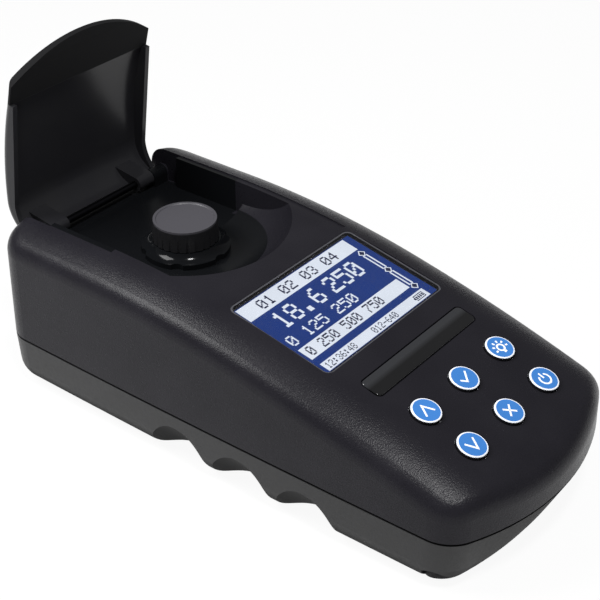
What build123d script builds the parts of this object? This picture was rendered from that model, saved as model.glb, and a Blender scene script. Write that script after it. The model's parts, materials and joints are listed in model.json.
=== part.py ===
from build123d import *
import os
from math import asin, atan2, cos, degrees, hypot, radians, sin, sqrt, tan

# Hand-held turbidity meter, in millimetres.
# X runs across the case, Y from the keypad end (-Y) to the lid end (+Y), Z up from the surface it lies on.

# Case
case_length = 190.5
case_width = 88.4
seam_height = 19.0
deck_height = 59.3
wall = 2.2
front_bow = 12.3
front_half = 42.6
front_corner_radius = 12.0
rear_bow = 1.2
rear_half = 43.9
rear_corner_radius = 11.0
upper_draft = 1.2
lower_draft = 3.0
chin_set_back = 8.0
top_edge_radius = 7.0
base_edge_radius = 9.0

# Deck line: level over the sample chamber, then three arcs that each end at a Y, down to the nose
deck_arc_y = 55.0
deck_arcs = {"display": (352.0, -14.0), "keypad": (620.0, -80.0), "nose": (60.0, -107.0)}
deck_flat_half = 26.0
shoulder_radius = 28.0
shoulder_turn = 51.8
deck_depth = 45.0

# Seam between the two shells
seam_groove_depth = 0.7
seam_groove_height = 0.8
gasket_width = 1.0

# Lid and its hinge, drawn closed and then opened
lid_half_width = 31.0
lid_wall = 1.8
lid_open_angle = 82.0
lid_crest = 65.5
lid_crest_y = 66.0
lid_shoulder_y = 80.0
lid_shoulder_drop = 0.9
lid_skirt_end_drop = 2.1
lid_skirt_end_y = 42.5
lid_visor_y = 25.8
lid_visor_corner_y = 36.0
lid_front_drop = 4.3
lid_visor_step = 0.8
lid_edge_radius = 3.0
lid_gap = 0.35
lid_tail_y = 91.2
lid_tail_z = 53.4
hinge_y = 88.4
hinge_z = 50.4
hinge_pin_radius = 1.2
hinge_barrel_radius = 2.6
hinge_clearance = 0.05
knuckle_inner_x = 17.0
knuckle_width = 7.0
knuckle_gap = 0.35

# Lid seat and the bowl round the sample chamber
strip_depth = 0.4
strip_margin = 0.4
strip_front_y = 7.0
ledge_width = 2.4
ledge_end_y = 79.5
chamber_y = 49.0
bowl_floor_z = 47.0
bowl_floor_radius = 17.5
bowl_rim_radius = 36.0

# Display
window_y = -13.9
window_width = 59.7
window_length = 38.9
window_corner = 2.6
window_thick = 1.2
window_lip = 1.3
lip_thick = 1.7
lcd_gap = 0.1
lcd_thick = 2.0
backlight_thick = 3.0
lcd_frame_wall = 1.8
gasket_foam_thick = 0.6
lcd_board_width = 73.0
lcd_board_length = 44.0
lcd_screw_x = 33.6
lcd_screw_y = 19.0
board_thick = 1.6

# Badge
badge_y = -44.2
badge_width = 51.0
badge_length = 7.2
badge_corner = 1.6
badge_thick = 1.0
badge_depth = 0.8
badge_gap = 0.45

# Keypad
button_pitch_x = 19.8
button_row_far_y = -59.7
button_row_near_y = -75.4
button_radius = 4.7
button_gap = 0.35
button_proud = 1.0
button_edge_radius = 0.4
button_travel = 0.6
button_flange = 1.3
button_flange_thick = 0.8
button_flange_gap = 0.4
button_dome_gap = 0.1
button_stem_radius = 1.6
key_board_depth = 7.6
key_board_width = 64.0
key_board_length = 31.0
key_dome_radius = 3.0
key_dome_height = 0.5
key_post_x = 28.8
key_post_far_y = 12.0
key_post_near_y = -4.0

# Screws and posts
post_radius = 4.2
small_post_radius = 2.5
screw_radius = 1.45
screw_head_radius = 2.9
screw_head_height = 2.4
screw_bite = 12.0
small_screw_radius = 0.9
small_head_radius = 1.9
small_head_height = 1.2
small_screw_length = 6.0

# Feet, which also cover the case screws
foot_radius = 6.4
foot_height = 7.5
foot_front_side_inset = 11.6
foot_front_end_inset = 17.65
foot_rear_side_inset = 11.0
foot_rear_end_inset = 12.25
foot_cup_wall = 1.8
foot_arch_radius = 4.2
foot_arch_z = 3.0

# Finger grips along both lower edges
grip_radius = 14.5
grip_depth = 5.0
grip_pitch = 25.0
grip_count = 3
grip_first_y = 16.4
grip_ridge_radius = 2.6
grip_clear = 0.3
grip_lean = 41.0
grip_inset = 0.9
grip_reach = 20.0

# Sample vial
vial_radius = 12.2
vial_wall = 1.1
vial_neck_radius = 9.0
vial_base_radius = 1.6
vial_lift = 0.3
shoulder_low_z = 41.5
neck_low_z = 46.6
neck_top_z = 56.0
ring_radius = 14.75
ring_top_radius = 11.5
ring_height = 4.0
ring_lobes = 6
ring_notch_radius = 3.2
ring_notch_depth = 0.9
cap_radius = 11.0
cap_top_radius = 10.5
cap_top_z = 58.4
cap_gap = 0.3
cap_flutes = 24
cap_flute_radius = 0.55
liner_thick = 0.8

# Optics
block_side = 44.0
block_gap = 0.4
block_floor = 3.0
block_corner = 3.0
pad_radius = 8.0
pad_thick = 1.0
beam_z = 24.0
beam_radius = 2.2
lamp_radius = 2.5
lamp_length = 6.5
lens_radius = 3.2
lens_thick = 1.6
detector_radius = 4.1
detector_length = 4.2
detector_rim = 0.6
lug_length = 8.0
lug_height = 4.0
optics_floor_post = 1.6

# Power and boards
main_board_z = 15.0
main_board_half = 31.5
main_board_front_y = -70.0
main_board_rear_y = 22.0
main_post_x = 28.0
main_post_inset = 5.0
battery_width = 42.0
battery_length = 60.0
battery_height = 9.6
battery_y = -26.0
battery_corner = 3.0
foam_thick = 0.8
tray_wall = 1.4
tray_height = 5.0
socket_width = 7.8
socket_height = 3.8
socket_length = 9.0
socket_z = 31.0
socket_gap = 0.3
socket_board_width = 24.0
socket_board_length = 15.0
socket_post_x = 8.5

# How a box or cylinder lies to its place: standing on it, or also reaching back from it
standing = (Align.CENTER, Align.CENTER, Align.MIN)
reaching = (Align.CENTER, Align.MIN, Align.MIN)


def deck_bends():
    """Centre Y and Z, radius, first and last fall in radians of each arc of the deck line."""
    y, z, fall = deck_arc_y, deck_height, 0.0
    bends = []
    for radius, end_y in deck_arcs.values():
        centre_y, centre_z = y + radius * sin(fall), z - radius * cos(fall)
        last = asin((centre_y - end_y) / radius)
        bends.append((centre_y, centre_z, radius, fall, last))
        y, z, fall = end_y, centre_z + radius * cos(last), last
    return bends


def deck_bend(y):
    """The arc of the deck line that y lies on."""
    for bend in deck_bends():
        if y >= bend[0] - bend[2] * sin(bend[4]):
            return bend
    return deck_bends()[-1]


def deck_angle(y):
    """Fall of the deck line at y, in radians."""
    centre_y, _, radius, first, _ = deck_bend(y)
    return asin(max(sin(first), (centre_y - y) / radius))


def deck_z(y):
    """Height of the deck line at y."""
    _, centre_z, radius, _, _ = deck_bend(y)
    return centre_z + radius * cos(deck_angle(y))


def deck_plane(x, y, lift=0.0):
    """Plane lying on the deck at x, y, its normal pointing out of the case."""
    fall = deck_angle(y)
    origin = Vector(x, y, deck_z(y)) + Vector(0, -sin(fall), cos(fall)) * lift
    return Plane(origin=origin, x_dir=(1, 0, 0), z_dir=(0, -sin(fall), cos(fall)))


def facing(face, up):
    """The face, turned if need be so that its normal points up or down."""
    return face if (face.normal_at().Z > 0) == up else -face


def inner_circle(start, middle, end, inset):
    """Centre and radius of the circle through three points, its radius less the inset."""
    arc = ThreePointArc(start, middle, end)
    return arc.arc_center, arc.radius - inset


def crossing(first, second, near):
    """Point where two circles cross, on the side of the given point."""
    (centre, radius), (other, other_radius) = first, second
    line = other - centre
    gap = line.length
    along = (radius ** 2 - other_radius ** 2 + gap ** 2) / (2 * gap)
    aside = sqrt(radius ** 2 - along ** 2)
    foot = centre + line * (along / gap)
    across = Vector(-line.Y, line.X) * (aside / gap)
    return min((foot + across, foot - across), key=lambda point: (point - Vector(*near)).length)


def plan_outline(inset, chin=0.0):
    """Outline of the case, drawn in by inset: four arcs with rounded corners, the front set back by chin."""
    rear, side = case_length / 2, case_width / 2
    corners = [
        (rear_half, rear - rear_bow),
        (-rear_half, rear - rear_bow),
        (-front_half, front_bow - rear),
        (front_half, front_bow - rear),
    ]
    middles = [(0, rear), (-side, 0.2 * rear), (0, chin - rear), (side, 0.2 * rear)]
    circles = [inner_circle(corners[i], middles[i], corners[(i + 1) % 4], inset) for i in range(4)]
    points = [crossing(circles[i - 1], circles[i], corners[i]) for i in range(4)]
    arcs = []
    for i in range(4):
        centre, radius = circles[i]
        middle = centre + (Vector(*middles[i]) - centre).normalized() * radius
        arcs.append(ThreePointArc(points[i], middle, points[(i + 1) % 4]))
    outline = make_face(arcs)
    outline = fillet([v for v in outline.vertices() if v.Y > 0], rear_corner_radius - inset)
    front = [v for v in outline.vertices() if any((Vector(v) - points[i]).length < 0.01 for i in (2, 3))]
    return fillet(front, front_corner_radius - inset)


def roof_form(inset):
    """Solid below the deck: level at the rear, then arcs down to the nose, rolled at both sides."""
    top = deck_height - inset
    turn = radians(shoulder_turn)
    bend = shoulder_radius - inset
    centre_z = deck_height - shoulder_radius
    base_z = deck_height - deck_depth
    edge_x, edge_z = deck_flat_half + bend * sin(turn), centre_z + bend * cos(turn)
    mid_x, mid_z = deck_flat_half + bend * sin(turn / 2), centre_z + bend * cos(turn / 2)
    y = deck_arc_y
    section = make_face([
        Line((-edge_x, y, base_z), (-edge_x, y, edge_z)),
        ThreePointArc((-edge_x, y, edge_z), (-mid_x, y, mid_z), (-deck_flat_half, y, top)),
        Line((-deck_flat_half, y, top), (deck_flat_half, y, top)),
        ThreePointArc((deck_flat_half, y, top), (mid_x, y, mid_z), (edge_x, y, edge_z)),
        Line((edge_x, y, edge_z), (edge_x, y, base_z)),
        Line((edge_x, y, base_z), (-edge_x, y, base_z)),
    ])
    roof = extrude(section, amount=case_length / 2 - deck_arc_y + wall, dir=(0, 1, 0))
    for centre_y, centre_z, _, first, last in deck_bends():
        axis, turn = Axis((0, centre_y, centre_z), (1, 0, 0)), degrees(last - first)
        roof += revolve(section, axis=axis, revolution_arc=turn)
        section = section.rotate(axis, turn)
    return roof


def upper_form(inset):
    """Outer form of the upper half, or its cavity when inset is the wall."""
    plan = facing((Pos(0, 0, seam_height) * plan_outline(inset)).face(), up=True)
    form = extrude(plan, amount=deck_depth, taper=upper_draft) & roof_form(inset)
    sides = [f for f in form.faces() if abs(f.normal_at(f.center()).Z) < 0.35]
    others = [f for f in form.faces() if f.center().Z > seam_height + 1 and f not in sides]
    roof_edges = [e for f in others for e in f.edges()]
    rim = [e for f in sides for e in f.edges() if any(e.is_same(r) for r in roof_edges)]
    return fillet(rim, top_edge_radius - inset)


def lower_form(inset):
    """Outer form of the lower half, or its cavity when inset is the wall: drafted, with a raked front."""
    rise = seam_height - inset
    draft = rise * tan(radians(lower_draft))
    base = Pos(0, 0, inset) * plan_outline(inset + draft, chin_set_back * rise / seam_height)
    form = loft([base.face(), (Pos(0, 0, seam_height) * plan_outline(inset)).face()], ruled=True)
    rim = form.edges().filter_by(lambda e: abs((e @ 0).Z - inset) < 0.01 and abs((e @ 0.5).Z - inset) < 0.01)
    return fillet(rim, base_edge_radius - inset)


def seam_band(outer, inner):
    """Ring on the seam between two insets of the outline."""
    ring = plan_outline(outer) - plan_outline(inner)
    return Pos(0, 0, seam_height - seam_groove_height / 2) * extrude(ring, amount=seam_groove_height)


def seam_cut():
    """Open groove round the seam with the gasket's seat behind it."""
    outside = Rectangle(case_width + 4 * wall, case_length + 4 * wall)
    ring = outside - plan_outline(seam_groove_depth + gasket_width)
    return Pos(0, 0, seam_height - seam_groove_height / 2) * extrude(ring, amount=seam_groove_height)


def rounded_plate(width, length, thick, corner):
    """Plate on the local XY plane, hanging down by its thickness."""
    return extrude(RectangleRounded(width, length, corner), amount=-thick)


def rod(x, y, low, high, radius):
    """Upright cylinder between two heights."""
    return Pos(x, y, low) * Cylinder(radius, high - low, align=standing)


def foot_front():
    """X and Y of the front feet, from the case's sides and front end."""
    return case_width / 2 - foot_front_side_inset, foot_front_end_inset - case_length / 2


def foot_rear():
    """X and Y of the rear feet, from the case's sides and rear end."""
    return case_width / 2 - foot_rear_side_inset, case_length / 2 - foot_rear_end_inset


def foot_places():
    """Names and centres of the four feet."""
    (front_x, front_y), (rear_x, rear_y) = foot_front(), foot_rear()
    return {
        "foot_front_left": (-front_x, front_y),
        "foot_front_right": (front_x, front_y),
        "foot_rear_left": (-rear_x, rear_y),
        "foot_rear_right": (rear_x, rear_y),
    }


def bowl_form(grow):
    """Bowl round the sample chamber with a level floor, a curved side and a channel to the rear."""
    floor = bowl_floor_z - grow
    rise = deck_height - bowl_floor_z
    run = bowl_rim_radius - bowl_floor_radius
    bend = (run ** 2 + rise ** 2) / (2 * rise)
    half = asin(run / bend) / 2
    centre, reach = bowl_floor_z + bend, bend + grow
    mid = (bowl_floor_radius + reach * sin(half), centre - reach * cos(half))
    rim = (bowl_floor_radius + reach * sin(2 * half), centre - reach * cos(2 * half))
    top = deck_height + lid_wall
    profile = Plane.XZ * make_face([
        Line((0, floor), (bowl_floor_radius, floor)),
        ThreePointArc((bowl_floor_radius, floor), mid, rim),
        Line(rim, (rim[0], top)),
        Line((rim[0], top), (0, top)),
        Line((0, top), (0, floor)),
    ])
    bowl = Pos(0, chamber_y, 0) * revolve(profile, axis=Axis.Z)
    channel_width = 2 * (lid_half_width + strip_margin - ledge_width + grow)
    length = case_length / 2 + wall - chamber_y
    channel = Pos(0, chamber_y, floor) * Box(channel_width, length, top - floor, align=reaching)
    throat = Pos(0, 0, floor) * Box(channel_width, case_length + 2 * wall, top - floor, align=standing)
    tail_width = 2 * (lid_half_width + strip_margin + grow)
    tail_y = ledge_end_y - grow
    tail_length = case_length / 2 + wall - tail_y
    tail = Pos(0, tail_y, floor) * Box(tail_width, tail_length, top - floor, align=reaching)
    return (bowl & throat) + channel + tail


def lid_seat_cut():
    """Shallow strip that the lid's skirt comes down on, following the deck."""
    width = 2 * (lid_half_width + strip_margin)
    length = case_length / 2 + wall - strip_front_y
    strip = Pos(0, strip_front_y, 0) * Box(width, length, deck_height + wall, align=reaching)
    return strip - roof_form(strip_depth)


def window_plane():
    """Plane of the window's top face, sunk to the lowest point of the deck round it."""
    bend = deck_arcs["display"][0]
    fall = bend - sqrt(bend ** 2 - (window_length / 2) ** 2)
    roll = shoulder_radius - sqrt(shoulder_radius ** 2 - max(0.0, window_width / 2 - deck_flat_half) ** 2)
    return deck_plane(0, window_y, -(fall + roll))


def lcd_screw_places():
    """Screw centres of the display board, in the window's plane."""
    return [(x, y) for x in (-lcd_screw_x, lcd_screw_x) for y in (-lcd_screw_y, lcd_screw_y)]


def key_screw_places():
    """Screw centres of the keypad board, in its own plane."""
    return [(x, y) for x in (-key_post_x, key_post_x) for y in (key_post_near_y, key_post_far_y)]


def key_plane(depth):
    """Plane parallel to the deck in the middle of the keypad, depth below it."""
    return deck_plane(0, (button_row_far_y + button_row_near_y) / 2, -depth)


def button_places():
    """Names and centres of the six buttons."""
    far, near = button_row_far_y, button_row_near_y
    return {
        "button_up": (-button_pitch_x, far),
        "button_enter": (0, far),
        "button_light": (button_pitch_x, far),
        "button_down": (-button_pitch_x, near),
        "button_exit": (0, near),
        "button_power": (button_pitch_x, near),
    }


def lcd_board_top():
    """Depth of the display board's top face below the window's top face."""
    return window_thick + lcd_gap + lcd_thick + backlight_thick


def display_mount():
    """Frame under the deck round the window, with four screw posts."""
    width, length = window_width + 2 * wall, window_length + 2 * wall
    frame = rounded_plate(width, length, window_thick + lip_thick, window_corner + wall)
    mount = window_plane() * (Pos(0, 0, wall / 2) * frame)
    mount += window_plane() * frame
    for x, y in lcd_screw_places():
        post = rod(x, y, -lcd_board_top(), 0, small_post_radius)
        mount += window_plane() * post
    return mount


def display_cuts():
    """Window pocket, the opening inside its lip and the pilot holes of the display screws."""
    pocket = Pos(0, 0, wall) * rounded_plate(window_width, window_length, wall + window_thick, window_corner)
    inner = 2 * window_lip
    opening = rounded_plate(window_width - inner, window_length - inner, deck_depth / 4, window_lip / 2)
    cuts = window_plane() * pocket + window_plane() * opening
    low = -lcd_board_top()
    for x, y in lcd_screw_places():
        hole = rod(x, y, low - 1, low + small_screw_length - board_thick, small_screw_radius)
        cuts += window_plane() * hole
    return cuts


def key_posts():
    """Posts that hold the keypad board under the deck."""
    posts = None
    for x, y in key_screw_places():
        post = key_plane(0) * rod(x, y, -key_board_depth, 0, small_post_radius)
        posts = post if posts is None else posts + post
    return posts


def hinge_lug(side):
    """Lug at one side of the channel that holds the hinge pin."""
    inner = knuckle_inner_x + knuckle_width + knuckle_gap
    width = lid_half_width + strip_margin - inner
    x = side * (inner + width / 2)
    barrel = Pos(x, hinge_y, hinge_z) * Rot(0, 90, 0) * Cylinder(hinge_barrel_radius, width)
    height = hinge_z - bowl_floor_z
    web = Pos(x, hinge_y, bowl_floor_z) * Box(width, 2 * hinge_barrel_radius, height, align=standing)
    return barrel + web


def hinge_rod(radius, half_length):
    """Cylinder on the hinge axis."""
    return Pos(0, hinge_y, hinge_z) * Rot(0, 90, 0) * Cylinder(radius, 2 * half_length)


def case_post_top(y):
    """Height that an upper case post reaches, just into the deck's wall."""
    return deck_z(y) - wall


def top_shell():
    """Upper shell: deck, bowl, window frame, keypad posts, hinge lugs and case posts."""
    outer = upper_form(0)
    cavity = upper_form(wall)
    inside = display_mount() + key_posts()
    for x, y in foot_places().values():
        inside += rod(x, y, seam_height, case_post_top(y), post_radius)
    shell = (outer - cavity) + (inside & outer)
    shell += bowl_form(wall) & outer
    shell -= bowl_form(0)
    for side in (-1, 1):
        shell += hinge_lug(side)
    shell -= hinge_rod(hinge_pin_radius, lid_half_width)
    shell -= lid_seat_cut()
    shell -= display_cuts()
    shell -= rod(0, chamber_y, bowl_floor_z - 2 * wall, bowl_floor_z + wall, vial_radius + block_gap)
    width, length = badge_width + 2 * badge_gap, badge_length + 2 * badge_gap
    badge = rounded_plate(width, length, wall + badge_depth, badge_corner + badge_gap)
    shell -= deck_plane(0, badge_y, wall) * badge
    for x, y in button_places().values():
        shell -= deck_plane(x, y) * rod(0, 0, -2 * wall, wall, button_radius + button_gap)
    bite = small_screw_length - board_thick
    for x, y in key_screw_places():
        shell -= key_plane(key_board_depth) * rod(x, y, -1, bite, small_screw_radius)
    for x, y in foot_places().values():
        shell -= rod(x, y, seam_height - 1, case_screw_end(y), screw_radius)
    mouth = Box(socket_width + 2 * socket_gap, 6 * wall, socket_height + 2 * socket_gap)
    shell -= Pos(0, case_length / 2, socket_z) * mouth
    return shell - seam_cut()


def grip_profile(grow):
    """Row of round finger grooves joined by rounded ridges, in Y and outward distance."""
    span = (grip_count + 1) * grip_pitch
    middle = grip_first_y - (grip_count - 1) * grip_pitch / 2
    face = Pos(middle, grip_clear - grow + grip_radius) * Rectangle(span, 2 * grip_radius)
    for i in range(grip_count):
        face += Pos(grip_first_y - i * grip_pitch, grip_radius - grip_depth) * Circle(grip_radius + grow)
    ridges = [
        corner for corner in face.vertices()
        if abs(corner.Y - grip_clear + grow) < 0.01 and abs(corner.X - middle) < span / 2 - 1
    ]
    return fillet(ridges, grip_ridge_radius - grow)


def grip_tools(grow):
    """Finger grooves along both lower edges, cut square to the rounded corner."""
    lean = radians(grip_lean)
    corner_x = case_width / 2 - base_edge_radius * (1 - cos(lean)) - grip_inset
    corner_z = base_edge_radius * (1 - sin(lean))
    tools = None
    for side in (-1, 1):
        out = Vector(side * cos(lean), 0, -sin(lean))
        along = Vector(0, 1, 0)
        plane = Plane(origin=(side * corner_x, 0, corner_z), x_dir=along, z_dir=along.cross(out))
        tool = extrude(plane * grip_profile(grow), amount=grip_reach, both=True)
        tools = tool if tools is None else tools + tool
    return tools


def foot_form(grow, height):
    """Cylinders of the four feet."""
    feet = None
    for x, y in foot_places().values():
        foot = rod(x, y, 0, height, foot_radius + grow)
        feet = foot if feet is None else feet + foot
    return feet


def foot_arches():
    """Round-topped openings through the sides to the two front feet, for prying them out."""
    arches = None
    front_x, front_y = foot_front()
    for side in (-1, 1):
        plane = Plane(origin=(side * front_x, front_y, foot_arch_z), z_dir=(side, 0, 0))
        arch = extrude(plane * Circle(foot_arch_radius), amount=foot_front_side_inset + 1)
        arches = arch if arches is None else arches + arch
    return arches


def case_screw_end(y):
    """Height of the end of a case screw's pilot hole in its upper post."""
    return min(case_post_top(y) - wall, seam_height + screw_bite)


def main_post_places():
    """Screw centres of the main board."""
    ys = (main_board_front_y + main_post_inset, main_board_rear_y - main_post_inset)
    return [(x, y) for x in (-main_post_x, main_post_x) for y in ys]


def lug_places():
    """Screw centres of the optics block."""
    x = (block_side + lug_length) / 2
    return [(-x, chamber_y), (x, chamber_y)]


def socket_post_y():
    """Y of the two posts under the socket board."""
    return socket_board_y() - socket_board_length / 4


def socket_board_y():
    """Middle of the socket board."""
    return case_length / 2 - 2 * wall - socket_board_length / 2


def socket_board_top():
    """Height of the socket board's top face."""
    return socket_z - socket_height / 2


def battery_tray():
    """Low walls on the floor round the battery."""
    width, length = battery_width + 2 * socket_gap, battery_length + 2 * socket_gap
    outer = RectangleRounded(width + 2 * tray_wall, length + 2 * tray_wall, battery_corner + tray_wall)
    inner = RectangleRounded(width, length, battery_corner)
    return Pos(0, battery_y, wall) * extrude(outer - inner, amount=tray_height)


def bottom_shell():
    """Lower shell: tub with finger grips, foot cups, case posts, board posts and battery tray."""
    outer = lower_form(0)
    cavity = lower_form(wall) - grip_tools(wall) - foot_form(foot_cup_wall, foot_height + wall)
    inside = battery_tray()
    for x, y in foot_places().values():
        inside += rod(x, y, foot_height, seam_height, post_radius)
    for x, y in main_post_places():
        inside += rod(x, y, wall, main_board_z, small_post_radius)
    for x, y in lug_places():
        inside += rod(x, y, wall, wall + optics_floor_post, small_post_radius)
    for x in (-socket_post_x, socket_post_x):
        inside += rod(x, socket_post_y(), wall, socket_board_top() - board_thick, small_post_radius)
    shell = (outer - cavity) + inside
    shell -= grip_tools(0)
    shell -= foot_form(0, foot_height)
    shell -= foot_arches()
    for x, y in foot_places().values():
        shell -= rod(x, y, 0, foot_height + screw_head_height, screw_head_radius + socket_gap)
        shell -= rod(x, y, 0, seam_height + 1, screw_radius + socket_gap)
    bite = small_screw_length - board_thick
    for x, y in main_post_places():
        shell -= rod(x, y, main_board_z - bite, main_board_z + 1, small_screw_radius)
    for x in (-socket_post_x, socket_post_x):
        top = socket_board_top() - board_thick
        shell -= rod(x, socket_post_y(), top - bite, top + 1, small_screw_radius)
    for x, y in lug_places():
        shell -= rod(x, y, wall / 2, wall + optics_floor_post + 1, small_screw_radius)
    return shell - seam_cut()


def corner_foot(x, y):
    """Rubber plug whose outer side follows the rounded corner of the case."""
    return rod(x, y, 0, foot_height, foot_radius) & lower_form(0)


def shell_gasket():
    """Seal lying in the seam between the shells."""
    return seam_band(seam_groove_depth, seam_groove_depth + gasket_width)


def case_screws():
    """Four long screws under the feet, through the lower posts into the upper ones."""
    head_low = foot_height + screw_head_height
    screws = []
    for x, y in foot_places().values():
        head = rod(x, y, head_low - screw_head_height, head_low, screw_head_radius)
        screws.append(head + rod(x, y, head_low, case_screw_end(y) - socket_gap, screw_radius))
    return screws


def lid_slab(drop, tail, half_width, low_edges):
    """Solid between the lid's side-view line, lowered by drop, and its lower edges, as wide as given."""
    crest = lid_crest - drop
    tail_point = (lid_tail_y - tail, lid_tail_z)
    shoulder = (lid_shoulder_y, crest - lid_shoulder_drop)
    end = (lid_visor_y - 1, crest - lid_front_drop)
    roof = ThreePointArc(shoulder, (lid_crest_y, crest), (lid_skirt_end_y, crest - lid_skirt_end_drop))
    rear = TangentArc(shoulder, tail_point, tangent=(roof % 0) * -1)
    side = make_face([rear, roof, Line(roof @ 1, end)] + low_edges(tail_point, end))
    side = Plane(origin=(-half_width, 0, 0), x_dir=(0, 1, 0), z_dir=(1, 0, 0)) * side
    return extrude(side, amount=2 * half_width, dir=(1, 0, 0))


def skirt_edges(tail_point, end):
    """Lower edges of the skirt: along the ledge, curving down to the tail."""
    low = deck_height - strip_depth + lid_gap
    inner = (tail_point[0] - lid_wall, tail_point[1])
    turn = (lid_shoulder_y, low)
    bend = ((inner[0] + turn[0]) / 2 + 0.8, (inner[1] + turn[1]) / 2 + 0.8)
    return [
        Line(end, (end[0], low)),
        Line((end[0], low), turn),
        ThreePointArc(turn, bend, inner),
        Line(inner, tail_point),
    ]


def cavity_edges(tail_point, end):
    """Lower edges of the lid's hollow, well below the skirt."""
    low = bowl_floor_z - wall
    return [
        Line(end, (end[0], low)),
        Line((end[0], low), (tail_point[0], low)),
        Line((tail_point[0], low), tail_point),
    ]


def lid_plan():
    """Plan of the lid: straight sides and a bowed front edge."""
    half = lid_half_width
    front = [
        Line((-half, lid_tail_y + 1), (-half, lid_visor_corner_y)),
        ThreePointArc((-half, lid_visor_corner_y), (0, lid_visor_y), (half, lid_visor_corner_y)),
        Line((half, lid_visor_corner_y), (half, lid_tail_y + 1)),
        Line((half, lid_tail_y + 1), (-half, lid_tail_y + 1)),
    ]
    return extrude(make_face(front), amount=lid_crest + wall, dir=(0, 0, 1))


def lid_knuckle(side):
    """Arm from the lid's roof down to its barrel on the hinge pin."""
    x = side * (knuckle_inner_x + knuckle_width / 2)
    barrel = Pos(x, hinge_y, hinge_z) * Rot(0, 90, 0) * Cylinder(hinge_barrel_radius, knuckle_width)
    height = lid_crest - hinge_z
    arm = Pos(x, hinge_y, hinge_z) * Box(knuckle_width, 2 * hinge_barrel_radius, height, align=standing)
    return barrel + arm


def opened(shape):
    """A piece of the lid, turned from closed to open about the hinge pin."""
    return shape.rotate(Axis((0, hinge_y, hinge_z), (1, 0, 0)), -lid_open_angle)


def lid_shell():
    """Lid: arched roof, side skirts, bowed front edge and two knuckles, drawn open."""
    outer = lid_slab(0, 0, lid_half_width, skirt_edges) & lid_plan()
    long_edges = [
        e for e in outer.edges()
        if abs(abs((e @ 0.5).X) - lid_half_width) < 0.01 and abs(abs((e @ 0).X) - lid_half_width) < 0.01
        and (e @ 0.5).Z > deck_height + lid_wall and (e @ 0.5).Y > lid_visor_corner_y
        and abs((e % 0.5).Y) > 0.5
    ]
    outer = fillet(long_edges, lid_edge_radius)
    outer += (lid_knuckle(-1) + lid_knuckle(1)) & lid_slab(0, 0, lid_half_width, cavity_edges)
    hollow = lid_slab(lid_wall, lid_wall, lid_half_width - lid_wall, cavity_edges)
    behind = (Align.CENTER, Align.MIN, Align.CENTER)
    rear = Pos(0, lid_skirt_end_y, 0) * Box(4 * lid_half_width, case_length, 4 * lid_crest, align=behind)
    hollow = hollow & rear
    front_cut = lid_slab(lid_wall + lid_visor_step, lid_wall, 2 * lid_half_width, cavity_edges) - rear
    lid = (outer - (hollow - lid_knuckle(-1) - lid_knuckle(1))) - front_cut
    return opened(lid - hinge_rod(hinge_pin_radius + hinge_clearance, lid_half_width))


def hinge_pin():
    """Steel pin through both lugs and both knuckles."""
    return hinge_rod(hinge_pin_radius, lid_half_width)


def display_window():
    """Clear window in its pocket."""
    return window_plane() * rounded_plate(window_width, window_length, window_thick, window_corner)


def lcd_size():
    """Width and length of the display glass inside the window's lip."""
    inner = 2 * window_lip + 2 * socket_gap
    return window_width - inner, window_length - inner


def lcd_glass():
    """Liquid crystal glass just under the window."""
    width, length = lcd_size()
    glass = extrude(Rectangle(width, length), amount=-lcd_thick)
    return window_plane() * (Pos(0, 0, -window_thick - lcd_gap) * glass)


def lcd_backlight():
    """Light guide behind the glass."""
    width, length = lcd_size()
    top = window_thick + lcd_gap + lcd_thick
    return window_plane() * (Pos(0, 0, -top) * extrude(Rectangle(width, length), amount=-backlight_thick))


def lcd_ring(low, high):
    """Rectangular ring round the display glass between two depths."""
    width, length = lcd_size()
    ring = Rectangle(width + 2 * lcd_frame_wall, length + 2 * lcd_frame_wall) - Rectangle(width, length)
    return window_plane() * (Pos(0, 0, -high) * extrude(ring, amount=-(low - high)))


def lcd_gasket():
    """Foam ring between the window's lip and the display frame."""
    top = window_thick + lip_thick
    return lcd_ring(top + gasket_foam_thick, top)


def lcd_frame():
    """Metal frame that holds the glass and light guide on their board."""
    return lcd_ring(lcd_board_top(), window_thick + lip_thick + gasket_foam_thick)


def board_with_holes(width, length, holes):
    """Circuit board on the local XY plane, hanging down, with screw holes."""
    board = extrude(Rectangle(width, length), amount=-board_thick)
    for x, y in holes:
        board -= rod(x, y, -2 * board_thick, board_thick, small_screw_radius)
    return board


def lcd_board():
    """Display board."""
    board = board_with_holes(lcd_board_width, lcd_board_length, lcd_screw_places())
    return window_plane() * (Pos(0, 0, -lcd_board_top()) * board)


def small_screw():
    """Pan-head screw pointing up, the seat of its head at the local origin."""
    head = rod(0, 0, -small_head_height, 0, small_head_radius)
    return head + rod(0, 0, 0, small_screw_length - socket_gap, small_screw_radius)


def lcd_screws():
    """Four screws that hold the display board."""
    depth = lcd_board_top() + board_thick
    return [window_plane() * (Pos(x, y, -depth) * small_screw()) for x, y in lcd_screw_places()]


def badge_plate():
    """Bare glossy strip in its shallow pocket."""
    plate = rounded_plate(badge_width, badge_length, badge_thick, badge_corner)
    top_edges = plate.faces().sort_by(Axis.Z)[-1].edges()
    return deck_plane(0, badge_y, badge_thick - badge_depth) * fillet(top_edges, badge_thick / 3)


def button_cap():
    """Button: domed round top, flange under the deck and a stem, on the local Z axis."""
    flange_top = -wall - button_flange_gap
    cap = rod(0, 0, flange_top - button_flange_thick, button_proud, button_radius)
    cap = fillet(cap.faces().sort_by(Axis.Z)[-1].edges(), button_edge_radius)
    cap += rod(0, 0, flange_top - button_flange_thick, flange_top, button_radius + button_flange)
    low = -key_board_depth + key_dome_height + button_travel + button_dome_gap
    return cap + rod(0, 0, low, flange_top, button_stem_radius)


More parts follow.
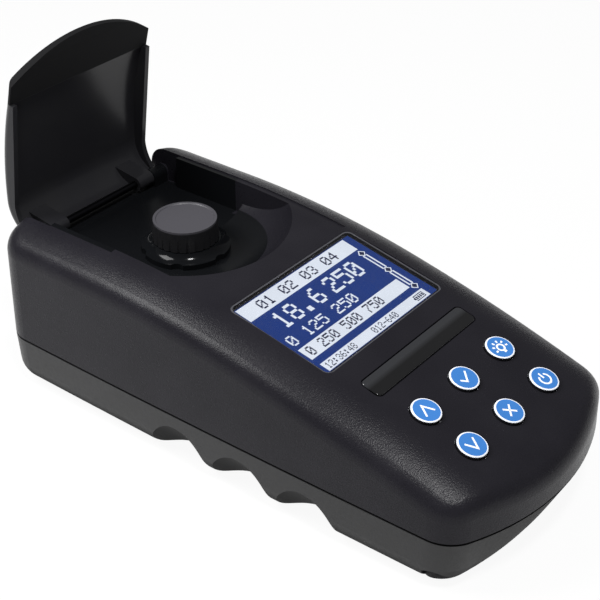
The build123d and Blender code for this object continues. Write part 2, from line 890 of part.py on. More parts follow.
def keypad_board():
    """Board that carries the six key domes, notched round the front case posts."""
    board = board_with_holes(key_board_width, key_board_length, key_screw_places())
    board = key_plane(key_board_depth) * board
    for x, y in foot_places().values():
        board -= rod(x, y, seam_height, deck_height, post_radius + block_gap)
    return board


def key_domes():
    """Six snap domes on the keypad board."""
    middle_y = (button_row_far_y + button_row_near_y) / 2
    bend = (key_dome_radius ** 2 + key_dome_height ** 2) / (2 * key_dome_height)
    cap = Pos(0, 0, key_dome_height - bend) * Sphere(bend)
    dome = cap & Box(4 * bend, 4 * bend, 2 * bend, align=standing)
    spread = 1 / cos(deck_angle(middle_y))
    places = [(x, (y - middle_y) * spread) for x, y in button_places().values()]
    return [key_plane(key_board_depth) * (Pos(x, y, 0) * dome) for x, y in places]


def keypad_screws():
    """Four screws that hold the keypad board."""
    depth = key_board_depth + board_thick
    return [key_plane(depth) * (Pos(x, y, 0) * small_screw()) for x, y in key_screw_places()]


def block_low():
    """Underside of the optics base plate."""
    return wall + optics_floor_post


def optics_bore(radius, near, far, turn):
    """Bore from the chamber outwards between two distances, turned about the chamber's axis."""
    bore = Pos((near + far) / 2, 0, 0) * Rot(0, 90, 0) * Cylinder(radius, far - near)
    return Pos(0, chamber_y, beam_z) * Rot(0, 0, turn) * bore


def optics_base():
    """Base plate that carries the optics block and the vial, with two screw lugs."""
    low = block_low()
    plate = Pos(0, chamber_y, low) * Box(block_side, block_side, block_floor, align=standing)
    plate = fillet(plate.edges().filter_by(Axis.Z), block_corner)
    for x, y in lug_places():
        plate += Pos(x, y, low) * Box(lug_length, 3 * lug_length / 2, lug_height, align=standing)
        plate -= rod(x, y, 0, low + lug_height + 1, small_screw_radius)
    return plate


def optics_block():
    """Black block on the base plate, with the vial's bore and three optical bores."""
    low, high = block_low() + block_floor, bowl_floor_z - wall
    block = Pos(0, chamber_y, low) * Box(block_side, block_side, high - low, align=standing)
    block = fillet(block.edges().filter_by(Axis.Z), block_corner)
    block -= rod(0, chamber_y, low - 1, high + 1, vial_radius + block_gap)
    half = block_side / 2
    for turn, radius, length in optics_ports():
        block -= optics_bore(beam_radius, 0, half, turn)
        block -= optics_bore(radius, half - length, half + 1, turn)
    return block - optics_bore(lens_radius, half - lamp_length - lens_thick, half, 180)


def optics_ports():
    """Turn, radius and depth of the lamp's and both detectors' seats."""
    seat = (detector_radius, detector_length)
    return [(180, lamp_radius, lamp_length), (0, *seat), (270, *seat)]


def lamp():
    """Light source: round-nosed lamp with a flange, flush with the block's side."""
    half = block_side / 2
    body = optics_bore(lamp_radius, half - lamp_length, half, 180)
    return body + optics_bore(lamp_radius + 1, half, half + 1, 180)


def source_lens():
    """Plano-convex lens in front of the lamp."""
    half = block_side / 2
    return optics_bore(lens_radius, half - lamp_length - lens_thick, half - lamp_length, 180)


def detector(turn):
    """Photodiode can with its rim."""
    half = block_side / 2
    can = optics_bore(detector_radius, half - detector_length, half, turn)
    return can + optics_bore(detector_radius + detector_rim, half, half + detector_rim, turn)


def vial_pad():
    """Soft pad under the vial."""
    low = block_low() + block_floor
    return Pos(0, chamber_y, 0) * rod(0, 0, low, low + pad_thick, pad_radius)


def vial_low():
    """Underside of the vial."""
    return block_low() + block_floor + pad_thick + vial_lift


def turned(outline):
    """Solid of revolution about the chamber's axis from radius and height points."""
    return Pos(0, chamber_y, 0) * revolve(Plane.XZ * make_face(outline), axis=Axis.Z)


def vial_form(inset, top):
    """Outer form of the vial, or its hollow when inset is the glass."""
    low = vial_low() + inset
    body, neck = vial_radius - inset, vial_neck_radius - inset
    middle = ((body + neck) / 2 + 0.4, (shoulder_low_z + neck_low_z) / 2 + 0.4)
    return turned([
        Line((0, low), (body, low)),
        Line((body, low), (body, shoulder_low_z)),
        ThreePointArc((body, shoulder_low_z), middle, (neck, neck_low_z)),
        Line((neck, neck_low_z), (neck, top)),
        Line((neck, top), (0, top)),
        Line((0, top), (0, low)),
    ])


def vial_glass():
    """Round glass vial with a shoulder and an open neck."""
    outer = vial_form(0, neck_top_z)
    low = vial_low()
    rim = outer.edges().filter_by(lambda e: max(abs((e @ t).Z - low) for t in (0, 0.5)) < 0.01)
    return fillet(rim, vial_base_radius) - vial_form(vial_wall, neck_top_z + 1)


def positioning_ring():
    """Lobed ring round the vial's neck that stands on the bowl's floor."""
    low, high = bowl_floor_z, bowl_floor_z + ring_height
    brim = low + 0.45 * ring_height
    bore = vial_neck_radius + cap_gap / 2
    middle = (ring_top_radius + 0.9, (brim + high) / 2)
    ring = turned([
        Line((bore, low), (ring_radius, low)),
        Line((ring_radius, low), (ring_radius, brim)),
        ThreePointArc((ring_radius, brim), middle, (ring_top_radius, high)),
        Line((ring_top_radius, high), (bore, high)),
        Line((bore, high), (bore, low)),
    ])
    reach = ring_radius + ring_notch_radius - ring_notch_depth
    for i in range(ring_lobes):
        turn = radians(360 / ring_lobes * i + 30)
        ring -= rod(reach * cos(turn), chamber_y + reach * sin(turn), low - 1, high + 1, ring_notch_radius)
    return ring


def vial_cap():
    """Screw cap with grip flutes and a raised rim round its top."""
    low, high = bowl_floor_z + ring_height + cap_gap, cap_top_z
    bore = vial_neck_radius + cap_gap
    roof = neck_top_z + liner_thick
    recess = 0.3
    cap = turned([
        Line((bore, low), (cap_radius, low)),
        Line((cap_radius, low), (cap_top_radius, high)),
        Line((cap_top_radius, high), (cap_top_radius - 0.8, high)),
        Line((cap_top_radius - 0.8, high), (cap_top_radius - 1.1, high - recess)),
        Line((cap_top_radius - 1.1, high - recess), (0, high - recess)),
        Line((0, high - recess), (0, roof)),
        Line((0, roof), (bore, roof)),
        Line((bore, roof), (bore, low)),
    ])
    for i in range(cap_flutes):
        turn = radians(360 / cap_flutes * i)
        reach = cap_radius + cap_flute_radius * 0.4
        cap -= rod(reach * cos(turn), chamber_y + reach * sin(turn), low - 1, high - 1.6, cap_flute_radius)
    return cap


def cap_liner():
    """Sealing disc inside the cap."""
    return Pos(0, chamber_y, 0) * rod(0, 0, neck_top_z, neck_top_z + liner_thick, vial_neck_radius)


def main_board():
    """Main circuit board on its four posts."""
    length = main_board_rear_y - main_board_front_y
    middle = (main_board_rear_y + main_board_front_y) / 2
    holes = [(x, y - middle) for x, y in main_post_places()]
    return Pos(0, middle, main_board_z + board_thick) * board_with_holes(2 * main_board_half, length, holes)


def screws_from_above(places, seat):
    """Small screws pointing down into posts, their heads on the seat."""
    return [Pos(x, y, seat) * Rot(180, 0, 0) * small_screw() for x, y in places]


def board_screws():
    """Screws of the main board and the socket board."""
    posts = [(x, socket_post_y()) for x in (-socket_post_x, socket_post_x)]
    screws = screws_from_above(main_post_places(), main_board_z + board_thick)
    return screws + screws_from_above(posts, socket_board_top())


def optics_screws():
    """Two screws through the lugs of the optics base."""
    seat = block_low() + lug_height
    head = rod(0, 0, seat, seat + small_head_height, small_head_radius)
    screw = head + rod(0, 0, wall, seat, small_screw_radius)
    return [Pos(x, y, 0) * screw for x, y in lug_places()]


def battery_pack():
    """Flat rechargeable pack in its tray."""
    pack = extrude(RectangleRounded(battery_width, battery_length, battery_corner), amount=battery_height)
    top = pack.faces().sort_by(Axis.Z)
    pack = fillet(top[-1].edges(), 1.2)
    return Pos(0, battery_y, wall + foam_thick) * pack


def battery_pad():
    """Foam strip under the battery pack."""
    pad = extrude(RectangleRounded(battery_width, battery_length, battery_corner), amount=foam_thick)
    return Pos(0, battery_y, wall) * pad


def socket_board():
    """Small board behind the rear wall."""
    holes = [(x, socket_post_y() - socket_board_y()) for x in (-socket_post_x, socket_post_x)]
    board = board_with_holes(socket_board_width, socket_board_length, holes)
    return Pos(0, socket_board_y(), socket_board_top()) * board


def charging_socket():
    """Metal charging and data socket, open to the rear."""
    rear = case_length / 2 - wall / 2
    align = (Align.CENTER, Align.MAX, Align.CENTER)
    body = Pos(0, rear, socket_z) * Box(socket_width, socket_length, socket_height, align=align)
    hollow = Box(socket_width - 1, socket_length - 1, socket_height - 1, align=align)
    mouth = Pos(0, rear + 1, socket_z) * hollow
    tongue = Pos(0, rear - 1, socket_z) * Box(socket_width - 3, socket_length - 1.5, 0.8, align=align)
    return (body - mouth) + tongue


PIECES = {
    "top_shell": top_shell,
    "bottom_shell": bottom_shell,
    "shell_gasket": shell_gasket,
    "case_screws": case_screws,
    "lid_shell": lid_shell,
    "hinge_pin": hinge_pin,
    "display_window": display_window,
    "lcd_gasket": lcd_gasket,
    "lcd_glass": lcd_glass,
    "lcd_backlight": lcd_backlight,
    "lcd_frame": lcd_frame,
    "lcd_board": lcd_board,
    "lcd_screws": lcd_screws,
    "badge_plate": badge_plate,
    "keypad_board": keypad_board,
    "key_domes": key_domes,
    "keypad_screws": keypad_screws,
    "optics_base": optics_base,
    "optics_block": optics_block,
    "optics_screws": optics_screws,
    "lamp": lamp,
    "source_lens": source_lens,
    "vial_pad": vial_pad,
    "vial_glass": vial_glass,
    "positioning_ring": positioning_ring,
    "vial_cap": vial_cap,
    "cap_liner": cap_liner,
    "main_board": main_board,
    "board_screws": board_screws,
    "battery_pad": battery_pad,
    "battery_pack": battery_pack,
    "socket_board": socket_board,
    "charging_socket": charging_socket,
}


def save(name, shape):
    """Write one piece, or a group of like pieces, to its STEP file."""
    solids = shape if isinstance(shape, list) else [shape]
    solids = [solid for piece in solids for solid in piece.solids()]
    whole = solids[0] if len(solids) == 1 else Compound(children=solids)
    export_step(whole, f"parts/{name}.step")


os.makedirs("parts", exist_ok=True)
for piece_name, make in PIECES.items():
    save(piece_name, make())
for foot_name, place in foot_places().items():
    save(foot_name, corner_foot(*place))
for button_name, place in button_places().items():
    save(button_name, deck_plane(*place) * button_cap())
for detector_name, turn in {"detector_through": 0, "detector_side": 270}.items():
    save(detector_name, detector(turn))
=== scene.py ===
"""Turbidity meter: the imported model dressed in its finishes, with its display, key prints and sample."""

import json
import logging
from dataclasses import dataclass
from enum import Enum
from math import cos, radians, sin

import bpy
import numpy as np
from mathutils import Matrix, Vector


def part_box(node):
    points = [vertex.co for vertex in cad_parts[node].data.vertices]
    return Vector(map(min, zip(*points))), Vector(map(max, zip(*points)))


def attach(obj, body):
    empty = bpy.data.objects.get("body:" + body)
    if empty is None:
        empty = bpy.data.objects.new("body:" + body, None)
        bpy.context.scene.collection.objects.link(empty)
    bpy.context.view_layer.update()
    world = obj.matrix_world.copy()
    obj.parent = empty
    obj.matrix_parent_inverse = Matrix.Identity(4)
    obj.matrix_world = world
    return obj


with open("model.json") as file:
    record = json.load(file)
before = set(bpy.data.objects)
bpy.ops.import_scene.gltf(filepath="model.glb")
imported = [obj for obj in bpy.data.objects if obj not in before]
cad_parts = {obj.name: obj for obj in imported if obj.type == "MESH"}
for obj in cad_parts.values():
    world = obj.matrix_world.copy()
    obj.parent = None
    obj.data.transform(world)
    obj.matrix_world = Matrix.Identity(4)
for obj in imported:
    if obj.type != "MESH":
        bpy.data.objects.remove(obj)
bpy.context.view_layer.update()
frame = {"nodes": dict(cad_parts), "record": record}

log = logging.getLogger("turbidity_meter")
# Sizes are in mm, and MM turns them to metres. PRINT_GAP is the clearance under each layer of print.
MM = 0.001
PHOTO_SIZE = 600
SENSOR = 36.0
PRINT_GAP = 0.005
GLYPH_ROWS = 7
GLYPH_STEP = 6


# Colours and nodes


def linear(code: str) -> tuple[float, float, float, float]:
    """Turns an sRGB hex colour to linear red, green, blue and alpha.

    Args:
        code: colour such as "#1a3780".

    Returns:
        The linear colour with an alpha of 1.
    """
    srgb = np.array([int(code[i:i + 2], 16) for i in (1, 3, 5)]) / 255
    low, high = srgb / 12.92, ((srgb + 0.055) / 1.055) ** 2.4
    red, green, blue = np.where(srgb <= 0.04045, low, high)
    return float(red), float(green), float(blue), 1.0


def add_node(tree: bpy.types.NodeTree, kind: str, settings: dict | None = None,
             links: dict | None = None) -> bpy.types.Node:
    """Adds a node with its settings and links.

    Args:
        tree: node tree that gets the node.
        kind: the node's type.
        settings: value of each input socket, by name or number, or of each property by name.
        links: output socket that feeds each input socket, by name or number.

    Returns:
        The new node.
    """
    node = tree.nodes.new(kind)
    properties = {name: value for name, value in (settings or {}).items() if hasattr(node, str(name))}
    for name, value in properties.items():
        setattr(node, name, value)
    for name, value in (settings or {}).items():
        if name not in properties:
            node.inputs[name].default_value = value
    for name, socket in (links or {}).items():
        tree.links.new(socket, node.inputs[name])
    return node


def new_tree(name: str) -> tuple[bpy.types.Material, bpy.types.NodeTree]:
    """Makes a material with an empty node tree.

    Args:
        name: the material's name.

    Returns:
        The material and its node tree.
    """
    material = bpy.data.materials.new(name)
    material.use_nodes = True
    material.node_tree.nodes.clear()
    return material, material.node_tree


def close_tree(tree: bpy.types.NodeTree, surface: bpy.types.NodeSocket) -> None:
    """Feeds a surface to the material's output."""
    add_node(tree, "ShaderNodeOutputMaterial", links={"Surface": surface})


def object_place(tree: bpy.types.NodeTree) -> bpy.types.NodeSocket:
    """Gives the socket of the piece's own coordinates, in metres."""
    return add_node(tree, "ShaderNodeTexCoord").outputs["Object"]


def along(tree: bpy.types.NodeTree, axis: str) -> bpy.types.NodeSocket:
    """Gives the socket of the piece's own coordinate along X, Y or Z, in metres."""
    return add_node(tree, "ShaderNodeSeparateXYZ", links={0: object_place(tree)}).outputs[axis]


def facing_up(tree: bpy.types.NodeTree) -> bpy.types.NodeSocket:
    """Gives how far the surface faces up: 1 where it is level, 0 where it is upright, -1 underneath."""
    facing = add_node(tree, "ShaderNodeNewGeometry").outputs["Normal"]
    return add_node(tree, "ShaderNodeSeparateXYZ", links={0: facing}).outputs["Z"]


def noise(tree: bpy.types.NodeTree, pitch: float, detail: float = 2.0) -> bpy.types.NodeSocket:
    """Adds an uneven pattern fixed to the piece.

    Args:
        tree: node tree that gets it.
        pitch: rough distance between two spots of the pattern, in mm.
        detail: how many finer octaves it carries.

    Returns:
        The socket of its value, from 0 to 1.
    """
    settings = {"Scale": 1 / (pitch * MM), "Detail": detail}
    return add_node(tree, "ShaderNodeTexNoise", settings, {"Vector": object_place(tree)}).outputs["Fac"]


def ramp(tree: bpy.types.NodeTree, value: bpy.types.NodeSocket, start: tuple[float, float],
         end: tuple[float, float]) -> bpy.types.NodeSocket:
    """Maps a value from one range to another and holds it at both ends.

    Args:
        tree: node tree that gets the map.
        value: socket to read.
        start: low and high end of what comes in.
        end: low and high end of what goes out.

    Returns:
        The socket of the mapped value.
    """
    settings = {"From Min": start[0], "From Max": start[1], "To Min": end[0], "To Max": end[1]}
    return add_node(tree, "ShaderNodeMapRange", settings, {"Value": value}).outputs["Result"]


def blend_colours(tree: bpy.types.NodeTree, share: bpy.types.NodeSocket, first: str | bpy.types.NodeSocket,
                  second: str | bpy.types.NodeSocket) -> bpy.types.NodeSocket:
    """Mixes two colours by a share.

    Args:
        tree: node tree that gets the mix.
        share: socket of the second colour's share.
        first: hex colour or colour socket at a share of 0.
        second: hex colour or colour socket at a share of 1.

    Returns:
        The socket of the mixed colour.
    """
    mix = add_node(tree, "ShaderNodeMix", {"data_type": "RGBA"}, {0: share})
    for number, colour in ((6, first), (7, second)):
        if isinstance(colour, str):
            mix.inputs[number].default_value = linear(colour)
        else:
            tree.links.new(colour, mix.inputs[number])
    return mix.outputs[2]


# Finishes


# Noise keeps mostly between these two values.
NOISE_RANGE = (0.3, 0.7)


@dataclass(frozen=True)
class Moulding:
    """Injection-moulded plastic or rubber, whose tool texture breaks up the gloss."""

    name: str
    colour: str
    roughness: float
    specular: float = 0.5
    grain: float = 0.5
    depth: float = 0.01
    mottle: str = ""
    coat: float = 0.0
    coat_roughness: float = 0.08
    drift_pitch: float = 18.0
    drift_range: tuple[float, float] = (0.35, 0.7)
    gloss_spread: float = 0.12
    pit_detail: float = 3.0

    def colour_socket(self, tree: bpy.types.NodeTree) -> bpy.types.NodeSocket:
        """Colour that drifts a little over the piece, as resin and handling leave it."""
        drift = ramp(tree, noise(tree, self.drift_pitch), self.drift_range, (0.0, 1.0))
        return blend_colours(tree, drift, self.colour, self.mottle or self.colour)

    def roughness_socket(self, tree: bpy.types.NodeTree) -> bpy.types.NodeSocket:
        """Roughness that varies from pit to pit of the tool's texture."""
        low, high = self.roughness * (1 - self.gloss_spread), self.roughness * (1 + self.gloss_spread)
        return ramp(tree, noise(tree, 2 * self.grain), NOISE_RANGE, (low, high))

    def normal_socket(self, tree: bpy.types.NodeTree) -> bpy.types.NodeSocket:
        """Fine pits of the tool's texture."""
        pits = {"Height": noise(tree, self.grain, self.pit_detail)}
        settings = {"Strength": 1.0, "Distance": self.depth * MM}
        return add_node(tree, "ShaderNodeBump", settings, pits).outputs["Normal"]

    def make(self) -> bpy.types.Material:
        """Builds the material."""
        material, tree = new_tree(self.name)
        settings = {
            "Specular IOR Level": self.specular,
            "Coat Weight": self.coat,
            "Coat Roughness": self.coat_roughness,
        }
        links = {
            "Base Color": self.colour_socket(tree),
            "Roughness": self.roughness_socket(tree),
            "Normal": self.normal_socket(tree),
        }
        close_tree(tree, add_node(tree, "ShaderNodeBsdfPrincipled", settings, links).outputs["BSDF"])
        return material


@dataclass(frozen=True)
class DeckMoulding(Moulding):
    """Shell moulding with a spark-eroded outside, and a polished seat for the lid round the chamber; the bowl
    and seat are painted darker as painted shade.
    """

    bowl_y: float = 49.0
    bowl_reach: float = 27.0
    seat_start_y: float = 52.0
    seat_half_width: float = 30.9
    seat_floor_z: float = 47.0
    seat_edge: float = 0.3
    bowl_roughness: float = 0.24
    # Painted shade: a darker colour in the recessed bowl and seat, where the lid shades them.
    bowl_shade_colour: str = "#0f1012"

    def bowl_share(self, tree: bpy.types.NodeTree) -> bpy.types.NodeSocket:
        """Share of the polish and of the painted shade: 1 above the seat's floor, between its walls, in the
        bowl or behind it.
        """
        across, back, up = (along(tree, axis) for axis in "XYZ")
        flat = add_node(tree, "ShaderNodeCombineXYZ", {"Z": 0.0}, {"X": across, "Y": back}).outputs[0]
        settings = {"operation": "DISTANCE", 1: (0.0, self.bowl_y * MM, 0.0)}
        reach = add_node(tree, "ShaderNodeVectorMath", settings, {0: flat}).outputs["Value"]
        side = add_node(tree, "ShaderNodeMath", {"operation": "ABSOLUTE"}, {0: across}).outputs[0]
        rim, limit, start, low, edge = (
            size * MM for size in
            (self.bowl_reach, self.seat_half_width, self.seat_start_y, self.seat_floor_z, self.seat_edge)
        )
        inside = ramp(tree, reach, (rim - edge, rim), (1.0, 0.0))
        behind = ramp(tree, back, (start, start + edge), (0.0, 1.0))
        between = ramp(tree, side, (limit - edge, limit), (1.0, 0.0))
        above = ramp(tree, up, (low - 2 * edge, low - edge), (0.0, 1.0))
        share = inside
        for operation, other in (("MAXIMUM", behind), ("MULTIPLY", between), ("MULTIPLY", above)):
            links = {0: share, 1: other}
            share = add_node(tree, "ShaderNodeMath", {"operation": operation}, links).outputs[0]
        return share

    def colour_socket(self, tree: bpy.types.NodeTree) -> bpy.types.NodeSocket:
        """The shell's colour outside, and in the polished bowl a darker colour that is painted shade."""
        return blend_colours(tree, self.bowl_share(tree), super().colour_socket(tree), self.bowl_shade_colour)

    def roughness_socket(self, tree: bpy.types.NodeTree) -> bpy.types.NodeSocket:
        """The shell's roughness outside and the polish in the bowl."""
        settings = {"data_type": "FLOAT", 3: self.bowl_roughness}
        links = {0: self.bowl_share(tree), 2: super().roughness_socket(tree)}
        return add_node(tree, "ShaderNodeMix", settings, links).outputs[0]

    def normal_socket(self, tree: bpy.types.NodeTree) -> bpy.types.NodeSocket:
        """Tool texture outside, fading out in the bowl."""
        links = {
            "Height": noise(tree, self.grain, self.pit_detail),
            "Strength": ramp(tree, self.bowl_share(tree), (0.0, 1.0), (1.0, 0.0)),
        }
        return add_node(tree, "ShaderNodeBump", {"Distance": self.depth * MM}, links).outputs["Normal"]


@dataclass(frozen=True)
class CapMoulding(Moulding):
    """Screw cap moulding whose flat top is painted paler than its sides, as painted light where the top faces
    the lamps.
    """

    # Painted light: the cap's top is coloured paler because it faces the lamps.
    lit_top_colour: str = "#444348"
    top_z: float = 57.6
    top_edge: float = 0.3

    def colour_socket(self, tree: bpy.types.NodeTree) -> bpy.types.NodeSocket:
        """Painted light: paler above the flutes and on the top, dark on the sides."""
        share = ramp(tree, along(tree, "Z"), (self.top_z * MM, (self.top_z + self.top_edge) * MM), (0.0, 1.0))
        return blend_colours(tree, share, super().colour_socket(tree), self.lit_top_colour)


@dataclass(frozen=True)
class GripMoulding(Moulding):
    """Lower shell moulding, satin on its sides and matt underneath, where the fingers hold it, with painted
    shade darkening it where it faces down.
    """

    # Painted shade: the underside is coloured darker where it faces away from the lamps.
    underside_shade_colour: str = "#101011"
    grip_roughness: float = 0.85
    grip_and_shade_start: float = -0.1
    grip_and_shade_end: float = -0.5

    def grip_and_shade_share(self, tree: bpy.types.NodeTree) -> bpy.types.NodeSocket:
        """Share of the matt texture and of the painted shade: 0 on the sides, 1 where the surface faces down.
        """
        return ramp(tree, facing_up(tree), (self.grip_and_shade_end, self.grip_and_shade_start), (1.0, 0.0))

    def colour_socket(self, tree: bpy.types.NodeTree) -> bpy.types.NodeSocket:
        """The shell's colour, with painted shade making it darker where it faces down."""
        return blend_colours(tree, self.grip_and_shade_share(tree), super().colour_socket(tree), self.underside_shade_colour)

    def roughness_socket(self, tree: bpy.types.NodeTree) -> bpy.types.NodeSocket:
        """The shell's satin on the sides and a matt underside."""
        settings = {"data_type": "FLOAT", 3: self.grip_roughness}
        links = {0: self.grip_and_shade_share(tree), 2: super().roughness_socket(tree)}
        return add_node(tree, "ShaderNodeMix", settings, links).outputs[0]


@dataclass(frozen=True)
class LidMoulding(Moulding):
    """Lid moulding, polished inside its hollow and finely textured on the visor beyond the crease, with
    painted shade darkening the visor.
    """

    visor_z: float = 97.0
    crease_width: float = 0.5
    # Painted shade: the visor's underside is coloured darker than the hollow.
    visor_shade_colour: str = "#0c0c0e"
    visor_roughness: float = 0.8

    def past_crease(self, tree: bpy.types.NodeTree, hollow: float, visor: float) -> bpy.types.NodeSocket:
        """Gives one value in the hollow and another on the visor."""
        low, high = self.visor_z * MM, (self.visor_z + self.crease_width) * MM
        return ramp(tree, along(tree, "Z"), (low, high), (hollow, visor))

    def colour_socket(self, tree: bpy.types.NodeTree) -> bpy.types.NodeSocket:
        """The lid's colour, and a darker one beyond the crease as painted shade."""
        share = self.past_crease(tree, 0.0, 1.0)
        return blend_colours(tree, share, super().colour_socket(tree), self.visor_shade_colour)

    def roughness_socket(self, tree: bpy.types.NodeTree) -> bpy.types.NodeSocket:
        """The hollow's polish, and the visor's texture."""
        return self.past_crease(tree, self.roughness, self.visor_roughness)


@dataclass(frozen=True)
class BadgeMoulding(Moulding):
    """Back-printed acrylic bar whose black fades to a grey painted reflection along its rear half."""

    # Painted reflection: the rear half fades to grey as if it caught the room's light.
    rear_reflection_colour: str = "#2b2c2f"
    fade_start_y: float = -44.4
    fade_end_y: float = -42.6

    def colour_socket(self, tree: bpy.types.NodeTree) -> bpy.types.NodeSocket:
        """Black in front, fading to a grey painted reflection at the rear."""
        share = ramp(tree, along(tree, "Y"), (self.fade_start_y * MM, self.fade_end_y * MM), (0.0, 1.0))
        return blend_colours(tree, share, super().colour_socket(tree), self.rear_reflection_colour)


@dataclass(frozen=True)
class KeyMoulding(Moulding):
    """Key cap, white over its top and rounded edge, with its sides painted dark as painted shade for the gap
    round the key.
    """

    # Painted shade: the key's sides are coloured dark for the shadowed gap round the key.
    side_shade_colour: str = "#1b1b1f"
    lowest_white: float = 0.3
    white_fade: float = 0.1

    def colour_socket(self, tree: bpy.types.NodeTree) -> bpy.types.NodeSocket:
        """White where the surface faces up, and dark painted shade on the sides."""
        limits = (self.lowest_white, self.lowest_white + self.white_fade)
        share = ramp(tree, facing_up(tree), limits, (0.0, 1.0))
        return blend_colours(tree, share, self.side_shade_colour, super().colour_socket(tree))


@dataclass(frozen=True)
class Glazing:
    """Clear acrylic or glass, with the faint haze of handling."""

    name: str
    tint: str
    roughness: float
    ior: float
    specular: float = 0.5
    haze: float = 0.02
    haze_pitch: float = 6.0
    haze_range: tuple[float, float] = (0.4, 0.75)

    def make(self) -> bpy.types.Material:
        """Builds the material."""
        material, tree = new_tree(self.name)
        limits = (self.roughness, self.roughness + self.haze)
        haze = ramp(tree, noise(tree, self.haze_pitch), self.haze_range, limits)
        settings = {
            "Base Color": linear(self.tint), "IOR": self.ior, "Transmission Weight": 1.0,
            "Specular IOR Level": self.specular,
        }
        surface = add_node(tree, "ShaderNodeBsdfPrincipled", settings, {"Roughness": haze})
        close_tree(tree, surface.outputs["BSDF"])
        return material


@dataclass(frozen=True)
class Backlit:
    """Liquid crystal or ink lit from behind, a little uneven as a light guide leaves it."""

    name: str
    colour: str
    dimmest: float = 0.94
    guide_pitch: float = 14.0
    unlit_colour: str = "#050506"
    roughness: float = 0.5
    specular: float = 0.1

    def make(self) -> bpy.types.Material:
        """Builds the material."""
        material, tree = new_tree(self.name)
        uneven = ramp(tree, noise(tree, self.guide_pitch), NOISE_RANGE, (self.dimmest, 1.0))
        settings = {
            "Base Color": linear(self.unlit_colour), "Roughness": self.roughness,
            "Specular IOR Level": self.specular, "Emission Color": linear(self.colour),
        }
        surface = add_node(tree, "ShaderNodeBsdfPrincipled", settings, {"Emission Strength": uneven})
        close_tree(tree, surface.outputs["BSDF"])
        return material


@dataclass(frozen=True)
class Metal:
    """Turned or pressed metal with fine tool marks."""

    name: str
    colour: str
    roughness: float
    gloss_spread: float = 0.06
    mark_pitch: float = 0.6
    mark_depth: float = 0.004
    mark_detail: float = 4.0

    def make(self) -> bpy.types.Material:
        """Builds the material."""
        material, tree = new_tree(self.name)
        marks = noise(tree, self.mark_pitch, self.mark_detail)
        low, high = self.roughness - self.gloss_spread, self.roughness + self.gloss_spread
        bump = add_node(tree, "ShaderNodeBump", {"Distance": self.mark_depth * MM}, {"Height": marks})
        links = {"Roughness": ramp(tree, marks, NOISE_RANGE, (low, high)), "Normal": bump.outputs["Normal"]}
        settings = {"Base Color": linear(self.colour), "Metallic": 1.0}
        close_tree(tree, add_node(tree, "ShaderNodeBsdfPrincipled", settings, links).outputs["BSDF"])
        return material


@dataclass(frozen=True)
class CircuitBoard:
    """Glass-fibre board under solder mask, with the tracks faintly in relief."""

    name: str
    mask: str
    track: str
    roughness: float = 0.4
    track_pitch: float = 3.0
    track_range: tuple[float, float] = (0.04, 0.07)
    track_height: float = 0.03

    def make(self) -> bpy.types.Material:
        """Builds the material."""
        material, tree = new_tree(self.name)
        settings = {"Scale": 1 / (self.track_pitch * MM), "feature": "DISTANCE_TO_EDGE"}
        cells = add_node(tree, "ShaderNodeTexVoronoi", settings, {"Vector": object_place(tree)})
        tracks = ramp(tree, cells.outputs["Distance"], self.track_range, (1.0, 0.0))
        bump = add_node(tree, "ShaderNodeBump", {"Distance": self.track_height * MM}, {"Height": tracks})
        links = {
            "Base Color": blend_colours(tree, tracks, self.mask, self.track),
            "Normal": bump.outputs["Normal"],
        }
        surface = add_node(tree, "ShaderNodeBsdfPrincipled", {"Roughness": self.roughness}, links)
        close_tree(tree, surface.outputs["BSDF"])
        return material


Finish = Moulding | Glazing | Backlit | Metal | CircuitBoard

# A moulding has its colour, roughness, specular level, grain and depth of grain in mm, and second colour.

# Spark erosion leaves fine pits, so black reads as charcoal with a broken sheen. The real pits are about
# 0.15 mm wide and are drawn three times as wide, so that they show.
SHELL = DeckMoulding("abs_spark_eroded_black", "#1c1b20", 0.3, 0.15, 0.45, 0.09, "#201f24")
# A finer, satin tool takes up more of the pale floor, so the lower shell reads as dark grey.
LOWER = GripMoulding("abs_satin_dark_grey", "#242425", 0.4, 0.34, 0.6, 0.03, "#272728")
# A polished tool gives long, soft reflections in near-black.
LID = LidMoulding("abs_polished_black", "#242427", 0.22, 0.2, 6.0, 0.02, "#272729")
# Silicone takes hardly any highlight, so the seam is a dark line.
SEAL = Moulding("silicone_seal_black", "#101012", 0.7, 0.2, 0.6, 0.01, "#121214")
# Moulded rubber is dull, and dusty beside the shells.
RUBBER = Moulding("rubber_foot_black", "#18181a", 0.75, 0.3, 0.5, 0.02, "#1c1c1e")
# Open cells catch the light singly, so foam looks flat and speckled.
FOAM = Moulding("foam_dark_grey", "#2a2a2c", 0.95, 0.1, 0.9, 0.15, "#343436")
# Cast acrylic over black print mirrors the room sharply.
BADGE = BadgeMoulding("acrylic_gloss_black", "#0b0b0d", 0.12, 0.5, 8.0, 0.005, "#0d0d0f", 0.4)
# Satin white makes a bright, clean ring round each print.
KEY = KeyMoulding("abs_satin_white", "#f6f8fd", 0.35, 0.5, 0.5, 0.004, "#f0f4fb")
# Screened blue ink keeps a full colour under a faint sheen.
KEY_BLUE = Moulding("ink_satin_blue", "#3d7cc6", 0.35, 0.4, 0.6, 0.003, "#3a78c0")
# Screened white ink covers well and is flatter than the key's plastic.
KEY_WHITE = Moulding("ink_satin_white", "#fbfdff", 0.4, 0.5, 0.6, 0.003, "#f6f9fe")
# Matt grey ink is a thin, dull line round the window.
RIM = Moulding("ink_matt_grey", "#4b4b50", 0.55, 0.3, 0.6, 0.004, "#45454a")
# Matt black swallows stray light, so the chamber looks like a hole.
OPTICS = Moulding("abs_matt_black", "#0e0e10", 0.85, 0.15, 0.5, 0.02, "#121214")
